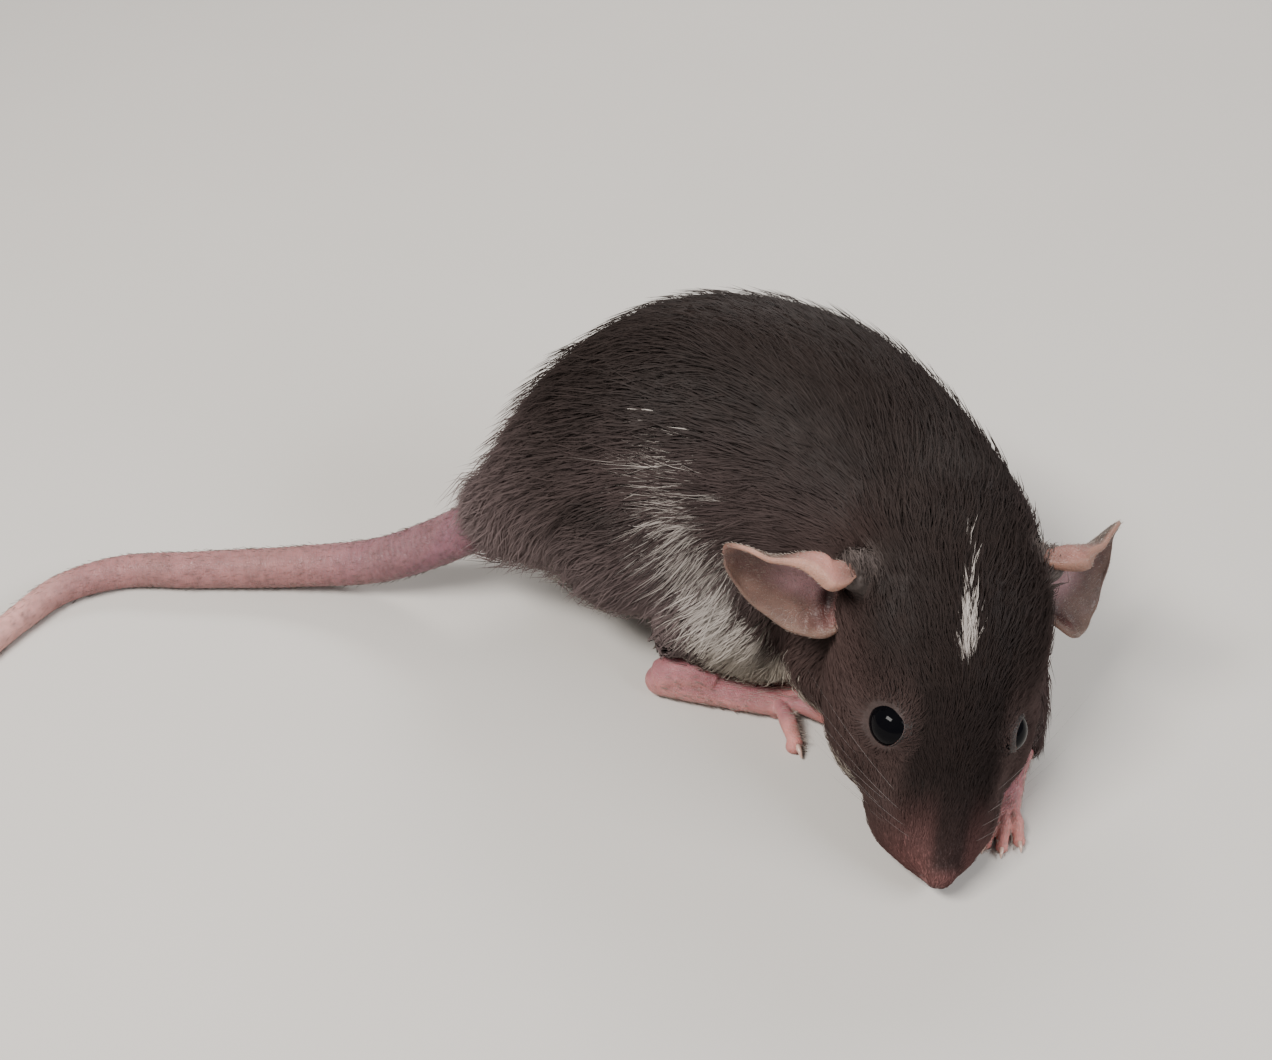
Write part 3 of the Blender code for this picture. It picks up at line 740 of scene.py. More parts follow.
def paintSkin(skin):
    points, normals = planPoints(skin), planNormals(skin)
    colour = blend(darkAt(points, normals) * 0.85, tones["cream"] * 0.6, whiteAt(points, normals))
    colour = blend(colour, tones["muzzlePink"], 0.9 * muzzleAt(points))
    for haired in hairedAt(points):
        colour = blend(colour, tones["bare"], 1 - haired)
    paint(skin, colour)


skin = makeSkin(skinPlan)
paintSkin(skin)
print("skin made with", len(skin.data.polygons), "faces")

# Coat

coatPlan = {
    "seed": 19,
    "tufts": 136000,
    "pieces": 8,
    "sunk": 0.22,
    "clumpSize": 1.3,
    "clump": 0.26,
    "stray": 0.15,
    "lengths": (0.72, 1.2),  # the spread of lengths and of lifts
    "lifts": (0.65, 1.25),
    "bendLift": 0.72,
    "rumpLift": 0.75,
    "guardShare": 0.1,
    "guardLength": 1.4,
    "guardLift": 1.6,
    "shades": (0.86, 1.16),
    "greys": (0.1, 0.7),  # how much of the dark colour the white hairs take on
    "floorGap": 0.12,
    "eyeClear": {1: 2.72, -1: 2.3},  # from the line that the right and the left eye look along
    "earClear": 2.7,
    "noseClear": 1.2,
    "nostrilClear": 0.8,
    "bendWidth": 0.9,  # as a share of the width at the root
    "alongTuft": (0.88, 1.0, 1.06),  # how light it is at the root, the bend and the tip
    "patch": 0.003,  # across a tuft's place on the unwrap
}
# the run of the spine from the nose to the tail, which the coat follows
spineRows = [onHead(back, 0, 0).tolist() for back in (0, 10, 20, 30, 38)] + [
    [39.2, -26.8, 26.6],
    [35.4, -18.2, 26.0],
    [28.8, -10.0, 26.3],
    [19.2, -2.5, 26.6],
    [8.0, 0.0, 26.0],
    [-2.0, -0.3, 23.0],
    [-10.8, -0.8, 19.8],
    [-17.6, -1.0, 16.8],
    [-24.0, -1.0, 13.0],
]
# down each leg to its foot
limbRows = (
    ((16.0, -17.0, 19.0), (14.0, -19.0, 13.0), (7.0, -19.0, 9.5), (4.2, -19.5, 5.0)),
    ((16.0, 17.0, 19.0), (14.0, 19.0, 13.0), (7.0, 19.0, 9.5), (6.8, 19.5, 5.0)),
    ((31.0, -20.0, 20.0), (24.4, -24.0, 9.0), (28.0, -27.6, 5.6), (32.6, -30.6, 3.4)),
    ((42.0, -14.0, 19.0), (49.0, -20.0, 10.5), (50.4, -28.5, 7.0), (49.2, -35.4, 4.4)),
)


def shareAlong(vectors, ways):
    # how far each vector goes along a way of its own
    return np.sum(vectors * ways, axis=1)[:, None]


def flow(points, rows, count, reach, strength):
    # the ways along a line, weighed by how near it runs
    line = smoothRows(rows, count)
    total = np.zeros_like(points)
    for spot, way in zip(line, unit(np.gradient(line, axis=0))):
        weight = strength * np.exp(-np.sum((points - spot) ** 2, axis=1) / (2 * reach**2)) + 1e-12
        total += weight[:, None] * way
    return total


def lieOf(points, normals):
    # the way the hair lies: from the nose to the tail, down the flanks and away from the eyes
    way = flow(points, spineRows, 60, 9.0, 1.0) + sum(flow(points, rows, 20, 4.5, 1.6) for rows in limbRows)
    way = unit(way)
    behind = ramp(apart(points, noseTip), 30, 50)
    way[:, 2] -= behind * (1 - np.abs(normals[:, 2])) * (0.25 + 0.5 * fade(points[:, 2], 8, 30))
    back, side, above = headPlace(points)
    spread = (1 - behind) * ramp(back, 6, 24)
    way = way + (headRight * np.tanh(side / 3)[:, None] * 0.25 - headUp * 0.12) * spread[:, None]
    for eyeSide in sideOf.values():
        away = points - eyeCentre(eyeSide)
        near = fade(np.linalg.norm(away, axis=1), 3.4, 5.6)
        axis = eyeWays(eyeSide)[2]
        way = way + unit(away - axis * (away @ axis)[:, None]) * (near * 1.5)[:, None]
    turn = 0.24 * waves(points, 13.0, 21) + 0.14 * waves(points, 4.5, 22)
    way = unit(way) + np.cross(normals, unit(way)) * turn[:, None]
    return unit(way - normals * shareAlong(way, normals))


def rootsOn(skin, plan, rng):
    mesh = skin.data
    mesh.calc_loop_triangles()
    corners = np.empty(len(mesh.loop_triangles) * 3, np.int32)
    mesh.loop_triangles.foreach_get("vertices", corners)
    corners = corners.reshape(-1, 3)
    points, normals = planPoints(skin), planNormals(skin)
    a, b, c = (points[corners[:, k]] for k in range(3))
    area = np.linalg.norm(np.cross(b - a, c - a), axis=1) / 2
    total = np.cumsum(area * coatAt((a + b + c) / 3, "number"))
    count = plan["tufts"]
    picks = (np.arange(count) + rng.random(count)) / count * total[-1]
    chosen = corners[np.clip(np.searchsorted(total, picks), 0, len(corners) - 1)]
    u, v = np.sqrt(rng.random(count)), rng.random(count)
    shares = np.stack([1 - u, u * (1 - v), u * v], axis=1)[..., None]
    print("tufts on a square millimetre:", round(count / area.sum(), 1))
    return (points[chosen] * shares).sum(axis=1), unit((normals[chosen] * shares).sum(axis=1))


def onSurface(tree, points):
    # nearest places on the skin and the normals there
    found = [tree.find_nearest(point) for point in points.tolist()]
    return np.array([hit[0] for hit in found]), np.array([hit[1] for hit in found])


def keepFree(points, plan):
    # no tufts on the eyes, the nose pad, in the ears or under the floor
    keep = (points[:, 2] > 0.5) & (apart(points, onHead(1.0, 0, 0.3)) > plan["noseClear"])
    back, out, above = skinPlan["nostril"]
    for side in sideOf.values():
        away, axis = points - eyeCentre(side), eyeWays(side)[2]
        ahead = away @ axis
        keep &= (np.linalg.norm(away - ahead[:, None] * axis, axis=1) > plan["eyeClear"][side]) | (ahead < 0)
        keep &= apart(points, onHead(back, out * side, above)) > plan["nostrilClear"]
    for word in earPlaces:
        root, along, opening, rearward = earWays(word)
        keep &= apart(points, root + opening * 0.8) > plan["earClear"]
    return keep


def growCoat(skin, plan):
    rng = np.random.default_rng(plan["seed"])
    roots, normals = rootsOn(skin, plan, rng)
    keep = keepFree(roots, plan)
    roots, normals = roots[keep], normals[keep]
    count = len(roots)
    depth, length, width = (coatAt(roots, measure) for measure in ("depth", "length", "width"))
    white, band = whiteAt(roots, normals), bandAt(roots)
    isWhite = rng.random(count) < white
    length = length * rng.uniform(*plan["lengths"], count)
    inBand = isWhite & (band > 0.05)
    length = np.where(inBand, length * (1.15 + 0.45 * (1 - band)), length)
    width = np.where(inBand, width * (0.36 + 0.5 * band), width)
    guard = rng.random(count) < plan["guardShare"]
    length = np.where(guard, length * plan["guardLength"], length)
    rump = plan["rumpLift"] * fade(roots[:, 0], -8, 4)
    lift = rng.uniform(*plan["lifts"], count) * (1 + rump) * np.where(guard, plan["guardLift"], 1.0)
    lie = lieOf(roots, normals)
    lie = unit(lie + np.cross(normals, lie) * rng.normal(0, plan["stray"], count)[:, None])
    faces = [list(face.vertices) for face in skin.data.polygons]
    tree = BVHTree.FromPolygons(planPoints(skin).tolist(), faces)
    half = (length * 0.5)[:, None]
    middle, middleNormals = onSurface(tree, roots + lie * half)
    onward = unit(lie - middleNormals * shareAlong(lie, middleNormals))
    tips, tipNormals = onSurface(tree, middle + onward * half)
    starts = roots - normals * plan["sunk"] * np.minimum(1, depth)[:, None]
    bends = middle + middleNormals * (depth * plan["bendLift"] * lift)[:, None]
    ends = tips + tipNormals * (depth * lift)[:, None]
    ends = clumped(ends, plan["clumpSize"], plan["clump"] * rng.uniform(0.3, 1.6, count))
    starts, bends, ends = (raised(joint, plan["floorGap"]) for joint in (starts, bends, ends))
    dark = darkAt(roots, normals)
    shade = rng.uniform(*plan["shades"], count)[:, None]
    pale = blend(tones["white"], tones["cream"], fade(roots[:, 2], 8, 20))
    grey = rng.uniform(*plan["greys"], count) * (1 - 0.75 * white)
    pale = blend(pale, dark, grey) * (0.78 + 0.22 * shade)
    colour = np.where(isWhite[:, None], pale, dark * shade)
    print("coat grown with", count, "tufts")
    return starts, bends, ends, normals, lie, width, colour


def clumped(ends, size, amount):
    # neighbouring tips draw together
    cells = np.floor(ends / size).astype(np.int64)
    keys = (cells[:, 0] * 73856093) ^ (cells[:, 1] * 19349663) ^ (cells[:, 2] * 83492791)
    group = np.unique(keys, return_inverse=True)[1]
    members = np.bincount(group)
    centre = np.stack([np.bincount(group, ends[:, k]) / members for k in range(3)], axis=1)[group]
    return ends + (centre - ends) * np.clip(amount, 0, 0.8)[:, None]


def unwrapPlaces(points, normals):
    # where each root lies on an unwrap of the skin in six flat views, packed three by two
    each, axis = np.arange(len(points)), np.argmax(np.abs(normals), axis=1)
    view = axis * 2 + (normals[each, axis] > 0)
    flat = np.stack([points[each, (axis + 1) % 3], points[each, (axis + 2) % 3]], axis=1)
    for k in np.unique(view):
        some = flat[view == k]
        spread = np.maximum(np.ptp(some, axis=0), 1e-6)
        flat[view == k] = (0.03 + 0.94 * (some - some.min(axis=0)) / spread + (k % 3, k // 3)) / (3, 2)
    return flat


def coatPiece(name, coat, chosen):
    # each tuft is a closed, three-sided blade with one bend
    start, bend, end, normal, lie, width, colour = (values[chosen] for values in coat)
    count, width = len(start), width[:, None] * 0.5
    across = unit(np.cross(normal, lie))
    points = np.empty((count, 7, 3))
    for k in range(3):
        turn = 2 * math.pi * k / 3 + math.pi / 2
        offset = (across * math.cos(turn) + normal * (0.7 * math.sin(turn))) * width
        points[:, k] = start + offset
        points[:, k + 3] = bend + offset * coatPlan["bendWidth"]
    points[:, 6] = end
    raised(points, 0.06)
    base = np.arange(count)[:, None] * 7
    sides = [base + np.array([k, (k + 1) % 3, (k + 1) % 3 + 3, k + 3]) for k in range(3)]
    tops = [base + np.array([k + 3, (k + 1) % 3 + 3, 6]) for k in range(3)]
    quads = np.stack(sides, axis=1).reshape(-1, 4)
    caps = np.stack([base + np.array([2, 1, 0])] + tops, axis=1).reshape(-1, 3)
    piece = newPiece(name, points.reshape(-1, 3), [quads, caps], fur)
    shades = np.repeat(coatPlan["alongTuft"], (3, 3, 1))[None, :, None]
    paint(piece, (colour[:, None] * shades).reshape(-1, 3))
    # the tufts take their shading mostly from the skin's own curve
    shading = unit(planNormals(piece) * 0.2 + np.repeat(normal, 7, axis=0) * 0.8)
    piece.data.normals_split_custom_set_from_vertices(shading.tolist())
    spots = unwrapPlaces(start, normal)[:, None, None]
    sideUv = np.array([[[k, 0], [k + 1, 0], [k + 1, 1.5], [k, 1.5]] for k in range(3)])
    capUv = np.array([[[2, 0], [1, 0], [0, 0]]] + [[[k, 1.5], [k + 1, 1.5], [k + 0.5, 3]] for k in range(3)])
    uv = [(spots + corners / 3 * coatPlan["patch"]).reshape(-1, 2) for corners in (sideUv, capUv)]
    layer = piece.data.uv_layers.new(name="OFBake")
    layer.data.foreach_set("uv", np.concatenate(uv).astype(np.float32).ravel())
    return piece


coat = growCoat(skin, coatPlan)
# the tufts in bands of equal number from the nose to the tail
bands = np.array_split(np.argsort(apart(coat[0], noseTip), kind="stable"), coatPlan["pieces"])
coatPieces = [coatPiece(f"coat_{i + 1}", coat, some) for i, some in enumerate(bands)]
print("coat pieces made:", len(coatPieces))

# Eyes and lids

lidPlan = {
    "opening": {1: 2.7, -1: 2.3},
    "thickness": 0.16,
    "skirt": 0.5,
    "corner": 0.10,
    "rings": 72,
    "sides": 14,
    "colour": (0.022, 0.015, 0.014),
    "rim": (0.10, 0.064, 0.06),
}


def makeEye(side, name):
    radii = (headPlan["eyeRadius"],) * 3
    return newPiece(name, *ballShape(eyeCentre(side), radii, np.stack(eyeWays(side)), 40, 64), eyeGloss)


def makeLid(side, name, plan):
    # a soft ring that lies on the eyeball and runs out under the fur
    across, beyond, axis = eyeWays(side)
    radius, rings, sides = headPlan["eyeRadius"], plan["rings"], plan["sides"]
    turn = (2 * math.pi * np.arange(rings) / rings)[:, None]
    around = 2 * math.pi * np.arange(sides) / sides
    outer = np.maximum(np.cos(around), 0)
    corner = 1 + plan["corner"] * np.abs(np.cos(turn)) ** 3
    reach = plan["opening"][side] * corner + plan["thickness"] * np.cos(around) + plan["skirt"] * outer
    height = np.sqrt(np.maximum(radius**2 - np.minimum(reach, radius * 0.97) ** 2, 0.2))
    height += plan["thickness"] * (0.35 + 0.65 * np.sin(around)) - 0.28 * outer
    out = across * np.cos(turn)[..., None] + beyond * np.sin(turn)[..., None]
    points = eyeCentre(side) + out * reach[..., None] + axis * height[..., None]
    faces = gridQuads(rings + 1, sides) % (rings * sides)
    lid = outward(newPiece(name, points.reshape(-1, 3), [faces], footSkin))
    share = np.tile(ramp(-np.cos(around), 0.6, 1.0), rings)
    paint(lid, blend(np.array(plan["colour"]), np.array(plan["rim"]), share))
    return lid


eyes, lids = {}, {}
for word, side in sideOf.items():
    eyes[word] = makeEye(side, f"eyeball_{word}")
    lids[word] = makeLid(side, f"eyelids_{word}", lidPlan)
print("eyes made")

# Ears

# distance out, rear edge, front edge and half angle of the rolled section in degrees
earSections = (
    (-2.6, 2.6, -2.6, 76),
    (0.0, 3.8, -3.6, 98),
    (3.2, 5.0, -5.9, 84),
    (6.3, 6.0, -7.0, 64),
    (9.4, 6.7, -6.6, 50),
    (11.9, 7.1, -5.3, 40),
    (14.1, 6.6, -3.1, 32),
    (15.4, 5.7, -0.6, 27),
    (16.0, 4.5, 1.3, 25),
)
earPlan = {
    "rows": 64,
    "spokes": 49,
    "sink": 1.5,
    "rootSink": 3.2,
    "thin": 0.34,
    "rim": 0.6,
    "rootThick": 0.35,
    "curl": 0.35,
    "rearAngle": {"right": 46, "left": 60},
    "reach": {"right": 0.97, "left": 0.95},
    "frontage": {"right": 0.95, "left": 1.06},
    "shear": {"right": 0.1, "left": -0.22},
    # painted shade: the left ear's colours are darkened because its inside faces the lamps more
    "shade": {"right": 1.0, "left": 0.66},
    "bulge": 1.9,
    "bulgeAt": {"right": 4.2, "left": 2.8},
    # height, distance out and its spread, place across from -1 in front to 1 behind and its spread
    "lobule": (0.7, 3.9, 1.1, -0.84, 0.17),
    "notch": (-0.3, 5.8, 0.55, -0.8, 0.2),
    "folds": ((0.25, 5.0, 1.0, 0.25, 0.3), (0.2, 7.0, 1.1, -0.25, 0.3)),
    "hollow": (0.9, 3.2, 0.9, -0.45, 0.22),
}
earTones = toneArrays({
    "inside": (0.078, 0.033, 0.028),
    # partly the ear's pink skin, partly painted light: lighter where the hollow of the ear lies in shade
    "middle": (0.29, 0.155, 0.168),
    "low": (0.13, 0.072, 0.056),
    "base": (0.17, 0.066, 0.058),
    # painted shade: the ear canal drawn as a dark spot over the shallow hollow
    "hole": (0.022, 0.006, 0.006),
    "rim": (0.36, 0.19, 0.14),
    "frontRim": (0.15, 0.088, 0.066),
    "bulge": (0.32, 0.14, 0.112),
    "back": (0.080, 0.048, 0.036),
})


def makeEar(word, plan):
    root, way, opening, rearward = earWays(word)
    rows, spokes = plan["rows"], plan["spokes"]
    v = np.linspace(-1, 1, spokes)[None]  # from the front edge to the rear one
    out, rear, front, roll = smoothRows(earSections, rows).T[..., None]
    front = front * plan["frontage"][word]
    firm = ramp(out, 2.5, 7.0)
    rearRoll = roll * (1 - firm) + np.minimum(roll, plan["rearAngle"][word]) * firm
    angle = np.radians(np.where(v > 0, rearRoll, roll))
    radius = (rear - front) / 2 / np.sin(np.minimum(angle, math.pi / 2))
    edge = np.maximum(np.abs(v) ** 6, ramp(out, 12.5, 16.0) ** 2)
    rise = radius * (1 - np.cos(angle * v)) - plan["sink"] - plan["rootSink"] * fade(out, -2.6, 3.4)
    rise = rise + plan["curl"] * edge * ramp(out, 0, 5)
    across = (rear + front) / 2 + radius * np.sin(angle * v)
    out, v = np.broadcast_arrays(out, v)
    distance = out * plan["reach"][word] + across * plan["shear"][word]
    middle = root + way * distance[..., None] + rearward * across[..., None] + opening * rise[..., None]
    uneven = waves(middle.reshape(-1, 3), 6.0, 31).reshape(rows, spokes) * ramp(out, 4, 10)
    middle = middle + opening * (0.16 * uneven)[..., None]
    normal = unit(np.cross(np.gradient(middle, axis=0), np.gradient(middle, axis=1)))
    normal = normal * np.sign(np.mean(normal @ opening))
    thick = plan["thin"] + (plan["rim"] - plan["thin"]) * edge + plan["rootThick"] * fade(out, 0, 4)

    def swelling(height, at, spread, place, width):
        return height * dome(out, at, spread) * dome(v, place, width)

    hollow = swelling(*plan["hollow"])
    bulge = swelling(plan["bulge"], plan["bulgeAt"][word], 3.3, 0.7, 0.38)
    lobes = sum(swelling(*row) for row in (plan["lobule"], plan["notch"], *plan["folds"]))
    inner = middle + normal * (thick / 2 + lobes - hollow)[..., None]
    outer = middle - normal * (thick / 2 + bulge + hollow)[..., None]
    rounding = (thick * 0.42)[..., None]
    rearEdge = middle[:, -1:] + unit(middle[:, -1:] - middle[:, -2:-1]) * rounding[:, -1:]
    frontEdge = middle[:, :1] + unit(middle[:, :1] - middle[:, 1:2]) * rounding[:, :1]
    ring = np.concatenate([inner, rearEdge, outer[:, ::-1], frontEdge], axis=1)
    tip = middle[-1] + unit(middle[-1] - middle[-2]) * rounding[-1]
    points = np.concatenate([ring.reshape(-1, 3), tip])
    ear = outward(newPiece(f"ear_skin_{word}", points, earFaces(rows, spokes), earSkin))
    # each side's painted shade scales the ear's colours
    paint(ear, earTints(out, v, edge, plan["bulgeAt"][word]) * plan["shade"][word])
    setLie(ear, unit(way + rearward * 0.3))
    return ear


def earFaces(rows, spokes):
    # rings across the inner side and back on the outer one, then a row of points that closes the tip
    size = 2 * spokes + 2
    last, j = (rows - 1) * size, np.arange(spokes - 1)
    tipRow = np.arange(spokes) + rows * size
    backOf = last + 2 * spokes - j
    innerStrip = np.stack([last + j, last + j + 1, tipRow[j + 1], tipRow[j]], axis=1)
    outerStrip = np.stack([backOf, tipRow[j], tipRow[j + 1], backOf - 1], axis=1)
    rootStrip = np.stack([j + 1, j, 2 * spokes - j, 2 * spokes - 1 - j], axis=1)
    ends = [[last + spokes - 1, last + spokes, tipRow[-1]], [last + spokes, last + spokes + 1, tipRow[-1]]]
    starts = [[last + size - 1, last, tipRow[0]], [last + size - 2, last + size - 1, tipRow[0]]]
    closing = [[0, size - 1, size - 2], [spokes, spokes - 1, spokes + 1]]
    return [gridQuads(rows, size), innerStrip, outerStrip, rootStrip, ends, starts, closing]


def earTints(out, v, edge, bulgeAt):
    rim = ramp(edge, 0.35, 0.95) * (1 - 0.75 * ramp(out, 13.5, 15.5))
    layers = {
        "inside": (
            # partly pink skin, partly painted light in the shaded middle of the ear
            ("middle", fade(np.abs(v - 0.1), 0.2, 0.7) * ramp(out, 1.5, 4) * fade(out, 7, 12)),
            ("low", ramp(-v, 0.25, 0.75) * ramp(out, 4, 8) * 0.9),
            ("base", fade(out, 1.5, 5.0) * 0.9),
            # painted shade of the ear canal, over the hollow
            ("hole", np.minimum(1, 1.2 * dome(out, 3.1, 1.1) * dome(v, -0.42, 0.26))),
            ("rim", rim * ramp(v, 0.1, 0.5) * 0.9),
            ("frontRim", rim * fade(v, -0.1, 0.3) * 0.9),
        ),
        "back": (
            ("bulge", np.minimum(1, dome(out, bulgeAt, 3.0) * ramp(v, 0.15, 0.5) * 1.25)),
            ("rim", rim * ramp(np.abs(v), 0.94, 0.99) * 0.85),
        ),
    }
    sides = []
    for ground, over in layers.items():
        colour = np.zeros((*out.shape, 3)) + earTones[ground]
        for name, share in over:
            colour = blend(colour, earTones[name], share)
        sides.append(colour)
    front, rear = sides
    ring = np.concatenate([front, front[:, -1:], rear[:, ::-1], front[:, :1]], axis=1)
    return np.concatenate([ring.reshape(-1, 3), front[-1]])


ears = {word: makeEar(word, earPlan) for word in sideOf}
print("ears made")

# Feet, modelled as left ones that point along X with the heel at 0

footPlan = {
    "right": ((2.4, -19.6, 0.0), -11.0, False),
    "left": ((5.5, 19.4, 0.0), -8.0, True),
    "sole": (
        (0.3, 0, 2.5, 1.9, 1.9, 2.5),
        (3.5, 0, 2.4, 2.5, 2.7, 2.4),
        (9.0, 0, 2.1, 2.7, 2.2, 2.2),
        (15.5, 0, 1.8, 2.9, 1.3, 1.9),
        (19.6, 0, 1.5, 2.5, 1.0, 1.5),
    ),
    "ankle": ((0.9, 0, 3.0, 2.2), (2.6, 0, 4.0, 2.4), (5.2, -0.1, 4.4, 2.4), (8.0, 0, 3.2, 2.2)),
    "heel": ((1.2, 0, 2.2), (2.4, 2.1, 2.3)),
    "pads": ((16.6, -1.8), (18.8, 0.0), (17.0, 1.7), (11.5, 1.4)),
    # ahead, out, length and splay in degrees
    "toes": (
        (14.4, -2.1, 4.8, -12),
        (18.2, -1.7, 7.4, -2),
        (18.8, -0.3, 8.0, 3),
        (18.4, 1.1, 7.2, 9),
        (17.6, 2.1, 5.8, 62),
    ),
    "toeRadius": 1.05,
    "toeHeight": 1.9,
}
pawPlan = {
    "right": ((33.0, -31.0, 0.0), -70.0, False),
    "left": ((47.6, -37.8, 0.0), -110.0, True),
    "sole": (
        (-1.0, 0, 2.6, 1.8, 1.8, 1.8),
        (2.0, 0, 1.9, 2.0, 1.5, 1.8),
        (5.0, 0, 1.5, 2.1, 1.1, 1.5),
        (6.4, 0, 1.3, 1.8, 0.9, 1.2),
    ),
    "ankle": ((0.5, 0, 2.6, 1.8), (-1.2, 0, 3.9, 1.9), (-3.0, 0, 5.2, 2.1)),
    "heel": ((2.8, -1.8, 1.0), (1.0, 0.8, 0.8)),
    "pads": ((4.4, -1.1), (5.2, 0.0), (4.4, 1.1)),
    "toes": ((4.6, -1.4, 4.0, -20), (5.4, -0.5, 4.7, -6), (5.4, 0.5, 4.6, 7), (4.6, 1.5, 3.9, 21)),
    "toeRadius": 0.78,
    "toeHeight": 1.45,
}
footTones = toneArrays({
    "skin": (0.42, 0.175, 0.168),
    "toe": (0.47, 0.19, 0.17),
    # partly the mauve skin of the shank, partly painted shade on the top of the foot under the belly
    "upper": (0.31, 0.118, 0.13),
})
footVoxel = 0.19
# along the toe as a share of its length, lift of the centre and girth, both as shares of the radius
toeArch = ((-0.25, 0.0, 0.95), (0.15, 0.35, 0.95), (0.45, 0.25, 1.12), (0.75, -0.5, 0.95), (1.0, -1.0, 0.95))
# ahead of the toe's tip, rise and girth, all as shares of the toe's radius
clawBend = ((0.35, 0.25, 0.42), (1.25, 0.10, 0.30), (1.95, -0.35, 0.10))


def toeRows(toe, plan):
    ahead, out, length, splay = toe
    radius, height = plan["toeRadius"], plan["toeHeight"]
    way = np.array([math.cos(math.radians(splay)), math.sin(math.radians(splay)), 0])
    root, up = np.array([ahead, out, height]), np.array([0, 0, 1])
    fall = height - radius * 0.85
    rows = []
    for share, lift, girth in toeArch:
        centre = root + way * (length * share) + up * lift * (fall if lift < 0 else radius)
        rows.append((*centre, radius * girth))
    tip = np.array(rows[-1][:3])
    claw = [(*(tip + (way * ahead + up * rise) * radius), girth * radius) for ahead, rise, girth in clawBend]
    return rows, claw


def standFoot(points, stand):
    # turned about its heel; a right one is mirrored first
    place, heading, isLeft = stand
    turn = math.radians(heading)
    points = points * np.array([1, 1 if isLeft else -1, 1])
    rotate = np.array([[math.cos(turn), -math.sin(turn), 0], [math.sin(turn), math.cos(turn), 0], [0, 0, 1]])
    return points @ rotate.T + np.array(place)


def makeFoot(name, clawName, plan, word):
    stand, radius = plan[word], plan["toeRadius"]
    soft = [loftShape(plan["sole"], 24, 24, (0, 0, 1)), limbShape(plan["ankle"]), ballShape(*plan["heel"])]
    soft += [ballShape((x, y, 0.75), (1.1, 0.9, 0.9)) for x, y in plan["pads"]]
    horn, tips = [], []
    for toe in plan["toes"]:
        rows, claw = toeRows(toe, plan)
        tips.append(rows[-1][:3])
        soft.append(limbShape(rows, 24, 20))
        soft.append(ballShape(tips[-1] - np.array([0.3, 0, 0.25]) * radius, (radius * 1.05,) * 3))
        horn.append(limbShape(claw, 9, 8))
    soft = [(standFoot(points, stand), faces) for points, faces in soft]
    foot = fused(name, soft, footVoxel, 3, footSkin)
    points = raised(planPoints(foot), 0.03)
    movePoints(foot, points)
    near = np.min([apart(points, tip) for tip in standFoot(np.array(tips), stand)], axis=0)
    # high faces that face up take the upper colour, partly painted shade under the belly
    high = ramp(points[:, 2], 1.6, 3.6) * ramp(planNormals(foot)[:, 2], -0.2, 0.6)
    colour = blend(footTones["skin"], footTones["upper"], high)
    paint(foot, blend(colour, footTones["toe"], fade(near, 1.5, 5.0)))
    heel, ahead = standFoot(np.array([[0.0, 0, 0], [1.0, 0, 0]]), stand)
    setLie(foot, unit(ahead - heel))
    points, faces = joinShapes([(standFoot(points, stand), faces) for points, faces in horn])
    return foot, outward(newPiece(clawName, raised(points, 0.04), faces, clawHorn))


feet, claws = {}, {}
for word in sideOf:
    for node, name, clawName, plan in (
        (f"foot_hind_{word}", "hind_foot", "claws_hind", footPlan),
        (f"paw_fore_{word}", "fore_paw", "claws_fore", pawPlan),
    ):
        feet[node], claws[node] = makeFoot(f"{name}_{word}", f"{clawName}_{word}", plan, word)
print("feet made")

# Trees of geometry nodes


class Pattern(Graph):
    # a tree of geometry nodes with named inputs, given as the names of each kind
    def __init__(self, name, inputs):
        super().__init__(bpy.data.node_groups.new(name, "GeometryNodeTree"))
        for way in ("INPUT", "OUTPUT"):
            self.tree.interface.new_socket("Geometry", in_out=way, socket_type="NodeSocketGeometry")
        for kind, keys in inputs.items():
            for key in keys:
                self.tree.interface.new_socket(key, in_out="INPUT", socket_type="NodeSocket" + kind)
        self.source = self.tree.nodes.new("NodeGroupInput")
        self.target = self.tree.nodes.new("NodeGroupOutput")

    def given(self, name):
        return Value(self, self.source.outputs[name])

    def sum(self, first, second):
        return self.add("ShaderNodeVectorMath", {0: first, 1: second}, operation="ADD")

    def swept(self, line, sides, radius, scale):
        # a closed tube along a line
        ring = self.add("GeometryNodeCurvePrimitiveCircle", {"Resolution": sides, "Radius": radius})
        values = {"Curve": line, "Profile Curve": ring, "Scale": scale, "Fill Caps": True}
        tube = self.add("GeometryNodeCurveToMesh", values)
        return self.add("GeometryNodeSetShadeSmooth", {"Geometry": tube})

    def finished(self, geometry):
        real = self.add("GeometryNodeRealizeInstances", {"Geometry": geometry})
        values = {"Geometry": real, "Material": self.given("Finish")}
        self.tree.links.new(self.add("GeometryNodeSetMaterial", values).socket, self.target.inputs[0])
        return self.tree


def addPattern(piece, tree, values):
    modifier = modify(piece, "NODES", node_group=tree)
    for item in tree.interface.items_tree:
        if item.item_type == "SOCKET" and item.in_out == "INPUT" and item.name in values:
            modifier[item.identifier] = values[item.name]
    return piece


